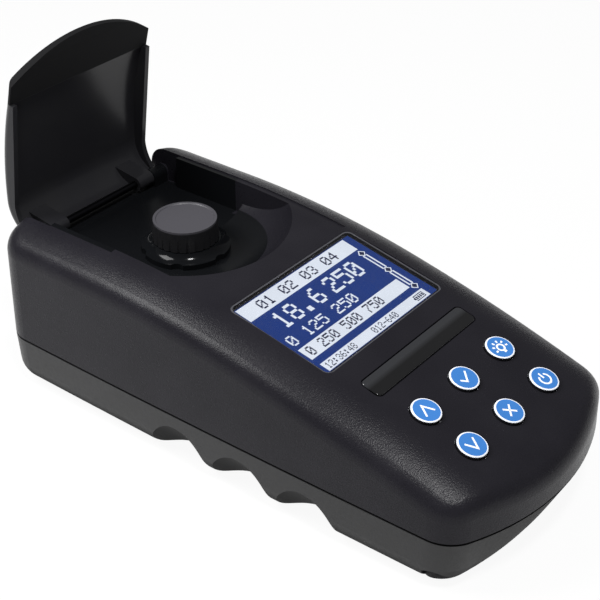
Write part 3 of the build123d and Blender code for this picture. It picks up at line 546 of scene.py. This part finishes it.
# Machined and tumbled acetal shows small, sharp highlights on its lobes.
RING = Moulding("acetal_gloss_black", "#0d0e10", 0.12, 0.12, 4.0, 0.01, "#101113")
# Pressed phenolic is satin and dark; its top is painted paler, as painted light.
CAP = CapMoulding("phenolic_satin_black", "#161618", 0.45, 0.4, 0.5, 0.01, "#1a1a1c")
# Pressed foam sheet is a soft off-white.
LINER = Moulding("liner_white", "#e2e2de", 0.5, 0.4, 0.8, 0.01, "#dadad6")
# Shrunk film is smooth with slight waves, so its highlights run long.
WRAP = Moulding("shrink_film_blue", "#22306b", 0.3, 0.5, 3.0, 0.02, "#283774")
# Frosted acrylic spreads light and looks milky.
GUIDE = Moulding("acrylic_frosted_white", "#dfe4e8", 0.6, 0.4, 0.5, 0.01, "#e6eaee")
# Hard-coated clear acrylic lays only a faint reflection over the picture.
WINDOW = Glazing("acrylic_window_clear", "#fbfcff", 0.0, 1.49, 0.15)
# Drawn borosilicate glass is clear, with dark and bright edges and a trace of green.
VIAL = Glazing("borosilicate_clear", "#f6fbfa", 0.01, 1.47)
# Cast epoxy is a little warm and hazy.
LAMP = Glazing("epoxy_lens_clear", "#f4f2ea", 0.05, 1.5)
# Water has no haze and bends what lies behind it.
WATER = Glazing("water_clear", "#f2f8fa", 0.0, 1.33)
# Plain turned steel is bright and finely streaked.
STEEL = Metal("steel_plain", "#b9babd", 0.32)
# Black oxide leaves steel dark with a metal sheen.
BLACK_STEEL = Metal("steel_black_oxide", "#1c1c1f", 0.4)
# Solder mask is a glossy deep green with paler tracks.
BOARD = CircuitBoard("solder_mask_green", "#0d4a26", "#1b6a3a")
# Liquid crystal in front of its light guide glows evenly: a deep blue field, near-white marks, dark signs.
FIELD = Backlit("liquid_crystal_blue", "#00307c")
LIT = Backlit("liquid_crystal_white", "#ecf3fd")
DARK = Backlit("liquid_crystal_dark", "#0c1640")

SLOT_FINISHES = {
    "shell_black": SHELL, "shell_grey": LOWER, "seal_black": SEAL, "foot_rubber": RUBBER,
    "lid_black": LID, "window_clear": WINDOW, "lcd_blue": FIELD, "light_guide": GUIDE,
    "foam": FOAM, "steel": STEEL, "board_green": BOARD, "badge_gloss": BADGE, "button_blue": KEY,
    "optics_black": OPTICS, "lamp_clear": LAMP, "glass_clear": VIAL, "ring_black": RING,
    "cap_black": CAP, "liner_white": LINER, "battery_wrap": WRAP,
}


def finish_of(finish: Finish) -> bpy.types.Material:
    """Gives a finish's material, built on its first use."""
    return bpy.data.materials.get(finish.name) or finish.make()


# Surfaces


@dataclass
class Solid:
    """Corner points in mm and faces of a closed form."""

    points: np.ndarray
    faces: np.ndarray

    def joined(self, other: "Solid") -> "Solid":
        """Puts another form beside this one."""
        faces = np.vstack([self.faces, other.faces + len(self.points)])
        return Solid(np.vstack([self.points, other.points]), faces)


def slabs(corners: np.ndarray, low: float, high: float) -> Solid:
    """Thin closed plates, each the prism over one four-sided outline.

    Args:
        corners: outlines, n by 4 by 2, anticlockwise seen from above.
        low: height of every underside.
        high: height of every top.

    Returns:
        Each outline at both heights, joined by its four sides.
    """
    count = len(corners)
    flat = corners.reshape(-1, 2)
    levels = [np.column_stack([flat, np.full(len(flat), z)]) for z in (low, high)]
    base = np.arange(count)[:, None] * 4
    top = 4 * count
    under = base + [3, 2, 1, 0]
    over = base + [0, 1, 2, 3] + top
    sides = [base + [i, (i + 1) % 4, (i + 1) % 4 + top, i + top] for i in range(4)]
    return Solid(np.vstack(levels), np.vstack([under, over] + sides))


def stroke(path: np.ndarray, width: float, low: float, high: float, closed: bool = False) -> Solid:
    """Thin closed band along a flat line, with mitred corners.

    At each point the band's two edges lie half a width away along the bisector of the two runs
    that meet there, divided by the cosine of half their turn, so its width stays the same.

    Args:
        path: points of the middle line, n by 2.
        width: width of the band.
        low: height of its underside.
        high: height of its top.
        closed: True for a line that ends where it starts.

    Returns:
        The band as a closed form.
    """
    ends = np.roll(path, -1, axis=0) if closed else path[1:]
    runs = ends - (path if closed else path[:-1])
    runs = runs / np.linalg.norm(runs, axis=1)[:, None]
    before = np.roll(runs, 1, axis=0) if closed else np.vstack([runs[:1], runs])
    after = runs if closed else np.vstack([runs, runs[-1:]])
    middle = before + after
    middle = middle / np.linalg.norm(middle, axis=1)[:, None]
    stretch = np.sum(middle * before, axis=1)[:, None]
    side = np.column_stack([-middle[:, 1], middle[:, 0]]) * width / 2 / stretch
    right, left = path - side, path + side
    first = np.arange(len(path))
    second = np.roll(first, -1)
    if not closed:
        first, second = first[:-1], second[:-1]
    corners = np.stack([right[first], right[second], left[second], left[first]], axis=1)
    return slabs(corners, low, high)


def arc(centre: tuple[float, float], radius: float, start: float, end: float, steps: int) -> np.ndarray:
    """Points along a circle.

    Args:
        centre: the circle's middle.
        radius: its radius.
        start: first angle in degrees.
        end: last angle in degrees.
        steps: number of points.

    Returns:
        The points, steps by 2.
    """
    turn = np.radians(np.linspace(start, end, steps))
    return np.column_stack([centre[0] + radius * np.cos(turn), centre[1] + radius * np.sin(turn)])


def turned(radii: np.ndarray, heights: np.ndarray, steps: int) -> Solid:
    """Surface of revolution about the local Z axis: x = r cos t, y = r sin t, z from the profile.

    Args:
        radii: radius at each profile point, 0 at both ends so that the poles close.
        heights: height at each profile point, going round anticlockwise from the lower pole.
        steps: number of points round the axis.

    Returns:
        The closed surface, with one point at each pole.
    """
    angle = np.linspace(0, 2 * np.pi, steps, endpoint=False)
    rings, turn = np.meshgrid(radii[1:-1], angle, indexing="ij")
    level = np.repeat(heights[1:-1, None], steps, axis=1)
    body = np.column_stack([(rings * np.cos(turn)).ravel(), (rings * np.sin(turn)).ravel(), level.ravel()])
    points = np.vstack([body, [0, 0, heights[0]], [0, 0, heights[-1]]])
    row, column = np.meshgrid(np.arange(len(radii) - 3), np.arange(steps), indexing="ij")
    following = (column + 1) % steps
    here, above = row * steps, (row + 1) * steps
    quads = np.stack([here + column, here + following, above + following, above + column], axis=-1)
    around = np.arange(steps)
    nearby = (around + 1) % steps
    lower, upper = len(body), len(body) + 1
    last = (len(radii) - 3) * steps
    floor = np.column_stack([nearby, around, np.full(steps, lower), np.full(steps, lower)])
    roof = np.column_stack([last + around, last + nearby, np.full(steps, upper), np.full(steps, upper)])
    return Solid(points, np.vstack([quads.reshape(-1, 4), floor, roof]))


def mesh_of(name: str, solid: Solid) -> bpy.types.Mesh:
    """Makes a mesh of a closed form given in mm.

    Args:
        name: the mesh's name.
        solid: its points and faces; a face that names its last point twice is a triangle.

    Returns:
        The mesh, in metres.
    """
    mesh = bpy.data.meshes.new(name)
    triangle = solid.faces[:, 2] == solid.faces[:, 3]
    faces = solid.faces[~triangle].tolist() + solid.faces[triangle][:, :3].tolist()
    mesh.from_pydata((solid.points * MM).tolist(), [], faces)
    mesh.update()
    return mesh


@dataclass
class Face:
    """Flat top of a CAD node: its middle, its directions and its half sizes, in mm."""

    middle: np.ndarray
    across: np.ndarray
    along: np.ndarray
    up: np.ndarray
    half_width: float
    half_length: float

    @classmethod
    def on(cls, node: str) -> "Face":
        """Finds the highest flat face of a node that faces up.

        Args:
            node: name of the CAD node.

        Returns:
            The face, with across along X and along towards the lid.
        """
        mesh = frame["nodes"][node].data
        points = np.empty(3 * len(mesh.vertices))
        mesh.vertices.foreach_get("co", points)
        normals = np.empty(3 * len(mesh.polygons))
        mesh.polygons.foreach_get("normal", normals)
        areas = np.empty(len(mesh.polygons))
        mesh.polygons.foreach_get("area", areas)
        corners = np.empty(3 * len(mesh.polygons), dtype=np.int64)
        mesh.polygons.foreach_get("vertices", corners)
        points, normals = points.reshape(-1, 3) / MM, normals.reshape(-1, 3)
        up = normals[np.argmax(areas * (normals[:, 2] > 0.5))]
        up = up / np.linalg.norm(up)
        heights = points @ up
        top = points[heights > heights.max() - 0.02]
        across = np.array([1.0, 0.0, 0.0])
        along = np.cross(up, across)
        spans = [(top @ way).min() + (top @ way).max() for way in (across, along)]
        middle = across * spans[0] / 2 + along * spans[1] / 2 + up * heights.max()
        half = [np.ptp(top @ way) / 2 for way in (across, along)]
        return cls(middle, across, along, up, half[0], half[1])

    def put(self, solid: Solid, sunk: float = 0.0) -> Solid:
        """Lays a form drawn flat onto the face.

        Args:
            solid: the form, with x across, y along and z up from the face.
            sunk: how far below the face it lies.

        Returns:
            The form in the object's own place.
        """
        ways = np.vstack([self.across, self.along, self.up])
        return Solid(solid.points @ ways + self.middle - sunk * self.up, solid.faces)


def show(name: str, solid: Solid, finish: Finish, body: str) -> bpy.types.Object:
    """Makes a piece of a closed form, dresses it and lets it ride on its body.

    Args:
        name: the piece's name.
        solid: its form in mm.
        finish: its finish.
        body: the CAD body that carries it.

    Returns:
        The piece.
    """
    piece = bpy.data.objects.new(name, mesh_of(name, solid))
    bpy.context.scene.collection.objects.link(piece)
    piece.data.materials.append(finish_of(finish))
    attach(piece, body)
    log.info("piece %s rides on %s: %d faces", name, body, len(piece.data.polygons))
    return piece


def dress(node: str, finish: Finish) -> None:
    """Gives a CAD node its finish in each of its slots."""
    piece = frame["nodes"][node]
    if not piece.material_slots:
        piece.data.materials.append(finish_of(finish))
    for slot in piece.material_slots:
        slot.material = finish_of(finish)
    log.info("node %s: %s", node, finish.name)


# Sub-assemblies


@dataclass
class Group:
    """CAD nodes that belong together and take the finishes that the record names."""

    nodes: tuple[str, ...]

    def build(self) -> None:
        """Dresses each node by its slot in the record."""
        slots = {part["node"]: part["material_slot"] for part in frame["record"]["subparts"]}
        for node in self.nodes:
            dress(node, SLOT_FINISHES[slots[node]])


@dataclass
class Case(Group):
    """Both shells with their seal, screws and feet."""

    nodes: tuple[str, ...] = (
        "top_shell", "bottom_shell", "shell_gasket", "case_screws",
        "foot_front_left", "foot_front_right", "foot_rear_left", "foot_rear_right",
    )


@dataclass
class Lid(Group):
    """Arched lid and its pin."""

    nodes: tuple[str, ...] = ("lid_shell", "hinge_pin")

    def build(self) -> None:
        """Dresses the lid, and its pin in the black oxide of such pins."""
        super().build()
        dress("hinge_pin", BLACK_STEEL)


@dataclass
class Electronics(Group):
    """Boards, battery and charging socket inside the case."""

    nodes: tuple[str, ...] = (
        "main_board", "board_screws", "battery_pad", "battery_pack", "socket_board", "charging_socket",
    )


@dataclass
class Optics(Group):
    """Block that holds the vial between the lamp and two detectors."""

    nodes: tuple[str, ...] = (
        "optics_base", "optics_block", "optics_screws", "lamp", "source_lens",
        "detector_through", "detector_side", "vial_pad",
    )


@dataclass
class Sample(Group):
    """Vial with its ring and cap, filled with water to its shoulder."""

    nodes: tuple[str, ...] = ("vial_glass", "positioning_ring", "vial_cap", "cap_liner")
    wall: float = 1.1
    gap: float = 0.05
    fill: float = 0.66
    corner: float = 1.5

    def water(self) -> Solid:
        """Water as a surface of revolution: a level top, straight sides and a quarter-round lower corner."""
        low, high = (np.array(end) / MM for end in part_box("vial_glass"))
        radius = (high[0] - low[0]) / 2 - self.wall - self.gap
        floor = low[2] + self.wall + self.gap
        level = low[2] + self.fill * (high[2] - low[2])
        turn = np.radians(np.linspace(-90, 0, 7))
        corner_r = radius - self.corner + self.corner * np.cos(turn)
        corner_z = floor + self.corner + self.corner * np.sin(turn)
        radii = np.concatenate([[0], corner_r, [radius, 0]])
        heights = np.concatenate([[floor], corner_z, [level, level]])
        form = turned(radii, heights, 64)
        return Solid(form.points + [0, (low[1] + high[1]) / 2, 0], form.faces)

    def build(self) -> None:
        """Dresses the vial and fills it."""
        super().build()
        show("sample_water", self.water(), WATER, "vial")


GLYPHS = {
    "0": ("01110", "10001", "10011", "10101", "11001", "10001", "01110"),
    "1": ("00100", "01100", "00100", "00100", "00100", "00100", "01110"),
    "2": ("01110", "10001", "00001", "00110", "01000", "10000", "11111"),
    "3": ("01110", "10001", "00001", "00110", "00001", "10001", "01110"),
    "4": ("00010", "00110", "01010", "10010", "11111", "00010", "00010"),
    "5": ("11111", "10000", "11110", "00001", "00001", "10001", "01110"),
    "6": ("00110", "01000", "10000", "11110", "10001", "10001", "01110"),
    "7": ("11111", "00001", "00010", "00100", "01000", "01000", "01000"),
    "8": ("01110", "10001", "10001", "01110", "10001", "10001", "01110"),
    "9": ("01110", "10001", "10001", "01111", "00001", "00010", "01100"),
    ".": ("00000", "00000", "00000", "00000", "00000", "01100", "01100"),
    ":": ("00000", "01100", "01100", "00000", "01100", "01100", "00000"),
    "-": ("00000", "00000", "00000", "11111", "00000", "00000", "00000"),
    " ": ("00000", "00000", "00000", "00000", "00000", "00000", "00000"),
}


@dataclass(frozen=True)
class Line:
    """A line of plain numbers on the display, in mm from its rear left corner."""

    words: str
    left: float
    top: float
    height: float
    pixel_fill: float = 0.92
    stretch: float = 1.0

    def lit(self) -> np.ndarray:
        """Column and row of each lit pixel, as whole arrays."""
        rows = np.array([[list(row) for row in GLYPHS[letter]] for letter in self.words]) == "1"
        letter, row, column = np.nonzero(rows)
        return np.column_stack([letter * GLYPH_STEP + column, row])

    def corners(self) -> np.ndarray:
        """Outline of each lit pixel, n by 4 by 2, with y towards the front."""
        pitch = np.array([self.stretch, 1.0]) * self.height / GLYPH_ROWS
        start = np.array([self.left, self.top]) + self.lit() * pitch
        size = pitch * self.pixel_fill
        steps = np.array([[0, 1], [1, 1], [1, 0], [0, 0]]) * size
        return start[:, None, :] + steps[None, :, :]


@dataclass
class Display(Group):
    """Window, crystal glass, frame and board, and the picture that the glass shows."""

    nodes: tuple[str, ...] = (
        "display_window", "lcd_gasket", "lcd_glass", "lcd_backlight", "lcd_frame", "lcd_board", "lcd_screws",
    )
    rim_width: float = 0.6
    rim_corner: float = 2.6
    rim_thick: float = 0.02
    ink_thick: float = 0.02
    bars: tuple[tuple[float, float, float, float], ...] = (
        (1.7, 1.9, 55.0, 8.2), (2.5, 25.5, 52.3, 30.9), (2.7, 33.6, 54.8, 37.3),
        (53.2, 11.6, 53.8, 19.8), (54.7, 11.6, 55.3, 19.8),
        (53.2, 22.2, 53.8, 30.2), (54.7, 22.2, 55.3, 30.2),
    )
    light_lines: tuple[Line, ...] = (
        Line("18.6", 7.4, 10.0, 7.2, 0.98, 0.9),
        Line("250", 32.2, 10.0, 7.2, 0.98, 0.92),
        Line("0 125 250", 3.0, 19.6, 4.3, 0.95),
    )
    dark_lines: tuple[Line, ...] = (
        Line("01 02 03 04", 9.0, 3.0, 4.1, 0.98),
        Line("0 250 500 750", 4.2, 26.2, 3.9, 0.98, 0.85),
        Line("12:36:48", 3.6, 34.2, 2.6, 0.95, 0.8),
        Line("012-640", 26.5, 34.2, 2.6, 0.95, 0.8),
    )

    def rim(self, face: Face) -> Solid:
        """Printed band inside the window's edge, along a rectangle with quarter-round corners."""
        inset = self.rim_width / 2
        x, y = face.half_width - inset, face.half_length - inset
        bend = self.rim_corner - inset
        quarters = [
            arc((sx * (x - bend), sy * (y - bend)), bend, start, start + 90, 9)
            for sx, sy, start in ((1, -1, -90), (1, 1, 0), (-1, 1, 90), (-1, -1, 180))
        ]
        return stroke(np.vstack(quarters), self.rim_width, PRINT_GAP, PRINT_GAP + self.rim_thick, closed=True)

    def battery(self) -> np.ndarray:
        """Outlines of the charge sign: a frame of four bars, four filled cells and its contact."""
        left, top, right, low, line = 48.9, 34.3, 53.4, 36.7, 0.3
        frame_bars = [
            (left, top, right, top + line), (left, low - line, right, low),
            (left, top, left + line, low), (right - line, top, right, low),
            (left - 0.5, top + 0.8, left, low - 0.8),
        ]
        cells = [(left + 0.6 + 0.95 * i, top + 0.6, left + 1.2 + 0.95 * i, low - 0.6) for i in range(4)]
        return self.outlines(frame_bars + cells)

    @staticmethod
    def knobs(reach: float) -> np.ndarray:
        """Outlines of the three diamonds on the sliding mark at the right, each reach from its middle."""
        centres = np.array([[54.25, 10.4], [54.25, 21.0], [54.25, 31.4]])
        steps = np.array([[0, reach], [reach, 0], [0, -reach], [-reach, 0]])
        return centres[:, None, :] + steps[None, :, :]

    @staticmethod
    def outlines(boxes: list | tuple) -> np.ndarray:
        """Corners of boxes given as left, top, right and lower edge."""
        left, top, right, low = np.array(boxes).T
        return np.stack([
            np.column_stack([left, low]), np.column_stack([right, low]),
            np.column_stack([right, top]), np.column_stack([left, top]),
        ], axis=1)

    def picture(self, face: Face, corners: np.ndarray, layer: int) -> Solid:
        """Ink or light on the crystal glass.

        Args:
            face: the window's top, whose rear left corner is the picture's start.
            corners: outlines in mm from that corner, with y towards the front.
            layer: 0 on the glass, 1 on the first layer.

        Returns:
            Thin plates in the gap above the glass.
        """
        flat = np.stack([corners[..., 0] - face.half_width, face.half_length - corners[..., 1]], axis=-1)
        low = 2 * PRINT_GAP + layer * (self.ink_thick + PRINT_GAP)
        return slabs(flat, low, low + self.ink_thick)

    def build(self) -> None:
        """Dresses the window and the glass, and draws the picture."""
        super().build()
        window, glass = Face.on("display_window"), Face.on("lcd_glass")
        depth = float((window.middle - glass.middle) @ window.up)
        log.info("display glass lies %.2f mm below the window's top", depth)
        show("window_rim", window.put(self.rim(window)), RIM, "case")
        bars = [self.outlines(self.bars), self.knobs(1.6)]
        light = np.vstack([line.corners() for line in self.light_lines] + bars)
        dark = np.vstack([line.corners() for line in self.dark_lines] + [self.battery(), self.knobs(1.1)])
        show("picture_light", window.put(self.picture(window, light, 0), depth), LIT, "case")
        show("picture_dark", window.put(self.picture(window, dark, 1), depth), DARK, "case")


@dataclass
class Badge(Group):
    """Glossy bar below the display, bare."""

    nodes: tuple[str, ...] = ("badge_plate",)


class Sign(Enum):
    """Signs on the keys."""

    UP = "up"
    ENTER = "enter"
    LIGHT = "light"
    DOWN = "down"
    EXIT = "exit"
    POWER = "power"


@dataclass
class Keypad(Group):
    """Six round keys with their prints, over the key board and its snap domes."""

    nodes: tuple[str, ...] = (
        "button_up", "button_enter", "button_light", "button_down", "button_exit", "button_power",
        "keypad_board", "key_domes", "keypad_screws",
    )
    disc_radius: float = 4.15
    crown: float = 0.4
    ink: float = 0.02
    line: float = 0.62

    def disc(self, flat_radius: float) -> Solid:
        """Blue print on a key: level over its flat top, then following the crown's quarter circle down."""
        out = np.linspace(0, self.disc_radius, 12)
        past = np.clip(out - flat_radius, 0, self.crown)
        sag = self.crown - np.sqrt(self.crown ** 2 - past ** 2)
        radii = np.concatenate([out, out[::-1]])
        heights = np.concatenate([PRINT_GAP - sag, (PRINT_GAP + self.ink - sag)[::-1]])
        return turned(radii, heights, 64)

    def strokes(self, sign: Sign) -> list[tuple[np.ndarray, bool]]:
        """Middle lines of a sign.

        Args:
            sign: which sign.

        Returns:
            Each line's points in mm from the key's middle, and whether it is closed.
        """
        if sign is Sign.UP:
            return [(np.array([[-2.0, -1.6], [0.0, 1.9], [2.0, -1.6]]), False)]
        if sign is Sign.DOWN:
            return [(np.array([[-2.0, 1.6], [0.0, -1.9], [2.0, 1.6]]), False)]
        if sign is Sign.ENTER:
            return [(np.array([[-2.1, 0.1], [-0.6, -1.5], [2.2, 1.6]]), False)]
        if sign is Sign.EXIT:
            return [(np.array([[-1.6, -1.6 * way], [1.6, 1.6 * way]]), False) for way in (1, -1)]
        if sign is Sign.POWER:
            return [(arc((0, -0.2), 1.9, 125, 415, 24), False), (np.array([[0.0, 2.4], [0.0, 0.2]]), False)]
        rays = [
            (np.vstack([arc((0.0, -0.2), reach, turn, turn, 1) for reach in (2.0, 2.9)]), False)
            for turn in range(-10, 191, 40)
        ]
        bulb = (arc((0, -0.2), 1.25, 0, 360, 25)[:-1], True)
        foot = (np.array([[-0.55, -2.1], [0.55, -2.1]]), False)
        return rays + [bulb, foot]

    def build(self) -> None:
        """Dresses the keys and prints each one's disc and sign."""
        super().build()
        low = 2 * PRINT_GAP + self.ink
        for sign in Sign:
            node, body = f"button_{sign.value}", f"button_{sign.value}_key"
            face = Face.on(node)
            show(f"disc_{sign.value}", face.put(self.disc(face.half_width)), KEY_BLUE, body)
            high = low + self.ink
            bands = [stroke(path, self.line, low, high, closed) for path, closed in self.strokes(sign)]
            mark = bands[0]
            for band in bands[1:]:
                mark = mark.joined(band)
            show(f"sign_{sign.value}", face.put(mark), KEY_WHITE, body)


# Studio


@dataclass(frozen=True)
class Softbox:
    """Square lamp with a soft edge, aimed at the meter."""

    name: str
    towards: tuple[float, float, float]
    distance: float
    size: float
    power: float

    def build(self, aim: Vector) -> None:
        """Places the lamp.

        Args:
            aim: the point that it faces.
        """
        lamp = bpy.data.lights.new(self.name, "AREA")
        lamp.shape, lamp.size, lamp.energy = "SQUARE", self.size, self.power
        holder = bpy.data.objects.new(self.name, lamp)
        way = Vector(self.towards).normalized()
        holder.location = aim + way * self.distance
        holder.rotation_euler = way.to_track_quat("Z", "Y").to_euler()
        bpy.context.scene.collection.objects.link(holder)
        log.info("lamp %s", self.name)


@dataclass
class Studio:
    """Camera at the photograph's angle, soft lamps and a plain pale floor."""

    azimuth: float = -51.61
    elevation: float = 32.83
    roll: float = -0.29
    focal_pixels: float = 1409.58
    place: tuple[float, float, float] = (-291.2, -229.5, 284.9)
    world_level: float = 0.2
    floor_size: float = 6.0
    floor_colour: str = "#f4f4f4"
    floor_glow: float = 0.93
    lamps: tuple[Softbox, ...] = (
        Softbox("lamp_rear_left", (-0.44, 0.46, 0.77), 0.5, 0.2, 2.1),
        Softbox("lamp_overhead", (-0.2, -0.3, 0.93), 0.9, 0.14, 5.5),
    )

    def camera(self) -> None:
        """Sets the camera: its back is the direction from the meter, turned by the roll about its view."""
        a, e, r = radians(self.azimuth), radians(self.elevation), radians(self.roll)
        back = Vector((sin(a) * cos(e), -cos(a) * cos(e), sin(e)))
        right = (-back).cross(Vector((0, 0, 1))).normalized()
        up = right.cross(-back)
        across, upwards = cos(r) * right + sin(r) * up, cos(r) * up - sin(r) * right
        lens = bpy.data.cameras.new("camera")
        lens.sensor_width = SENSOR
        lens.lens = self.focal_pixels / PHOTO_SIZE * SENSOR
        lens.clip_start, lens.clip_end = 0.01, 50
        holder = bpy.data.objects.new("camera", lens)
        turn = Matrix((across, upwards, back)).transposed().to_4x4()
        holder.matrix_world = Matrix.Translation(Vector(self.place) * MM) @ turn
        bpy.context.scene.collection.objects.link(holder)
        bpy.context.scene.camera = holder

    def floor(self) -> None:
        """Pale floor that looks white to the camera and keeps a soft shadow under the meter."""
        half = self.floor_size / 2
        mesh = bpy.data.meshes.new("floor")
        corners = [(-half, -half, 0), (half, -half, 0), (half, half, 0), (-half, half, 0)]
        mesh.from_pydata(corners, [], [(0, 1, 2, 3)])
        floor = bpy.data.objects.new("floor", mesh)
        bpy.context.scene.collection.objects.link(floor)
        material, tree = new_tree("paper_white")
        path = add_node(tree, "ShaderNodeLightPath").outputs
        seen = path["Is Camera Ray"]
        for ray in ("Is Glossy Ray", "Is Transmission Ray"):
            links = {0: seen, 1: path[ray]}
            seen = add_node(tree, "ShaderNodeMath", {"operation": "MAXIMUM"}, links).outputs[0]
        share = ramp(tree, seen, (0.0, 1.0), (0.0, self.floor_glow))
        paper = add_node(tree, "ShaderNodeBsdfDiffuse", {"Color": linear(self.floor_colour)})
        white = add_node(tree, "ShaderNodeEmission", {"Color": linear("#ffffff"), "Strength": 1.0})
        links = {0: share, 1: paper.outputs[0], 2: white.outputs[0]}
        close_tree(tree, add_node(tree, "ShaderNodeMixShader", links=links).outputs[0])
        floor.data.materials.append(material)

    def world(self) -> None:
        """Even light from all round; only the floor is white to the camera."""
        world = bpy.data.worlds.new("studio")
        world.use_nodes = True
        tree = world.node_tree
        tree.nodes.clear()
        settings = {"Color": linear("#ffffff"), "Strength": self.world_level}
        light = add_node(tree, "ShaderNodeBackground", settings)
        add_node(tree, "ShaderNodeOutputWorld", links={"Surface": light.outputs[0]})
        bpy.context.scene.world = world

    def build(self) -> None:
        """Builds the camera, the floor and the lights."""
        self.camera()
        self.floor()
        self.world()
        for lamp in self.lamps:
            lamp.build(Vector((0, 0, 0.04)))
        bpy.context.scene.view_settings.view_transform = "Standard"


def main() -> None:
    """Builds the studio and each sub-assembly in order."""
    logging.basicConfig(level=logging.INFO, format="%(message)s")
    Studio().build()
    for part in (Case(), Lid(), Optics(), Sample(), Electronics(), Display(), Badge(), Keypad()):
        part.build()
        log.info("built %s", type(part).__name__)


if __name__ == "__main__":
    main()
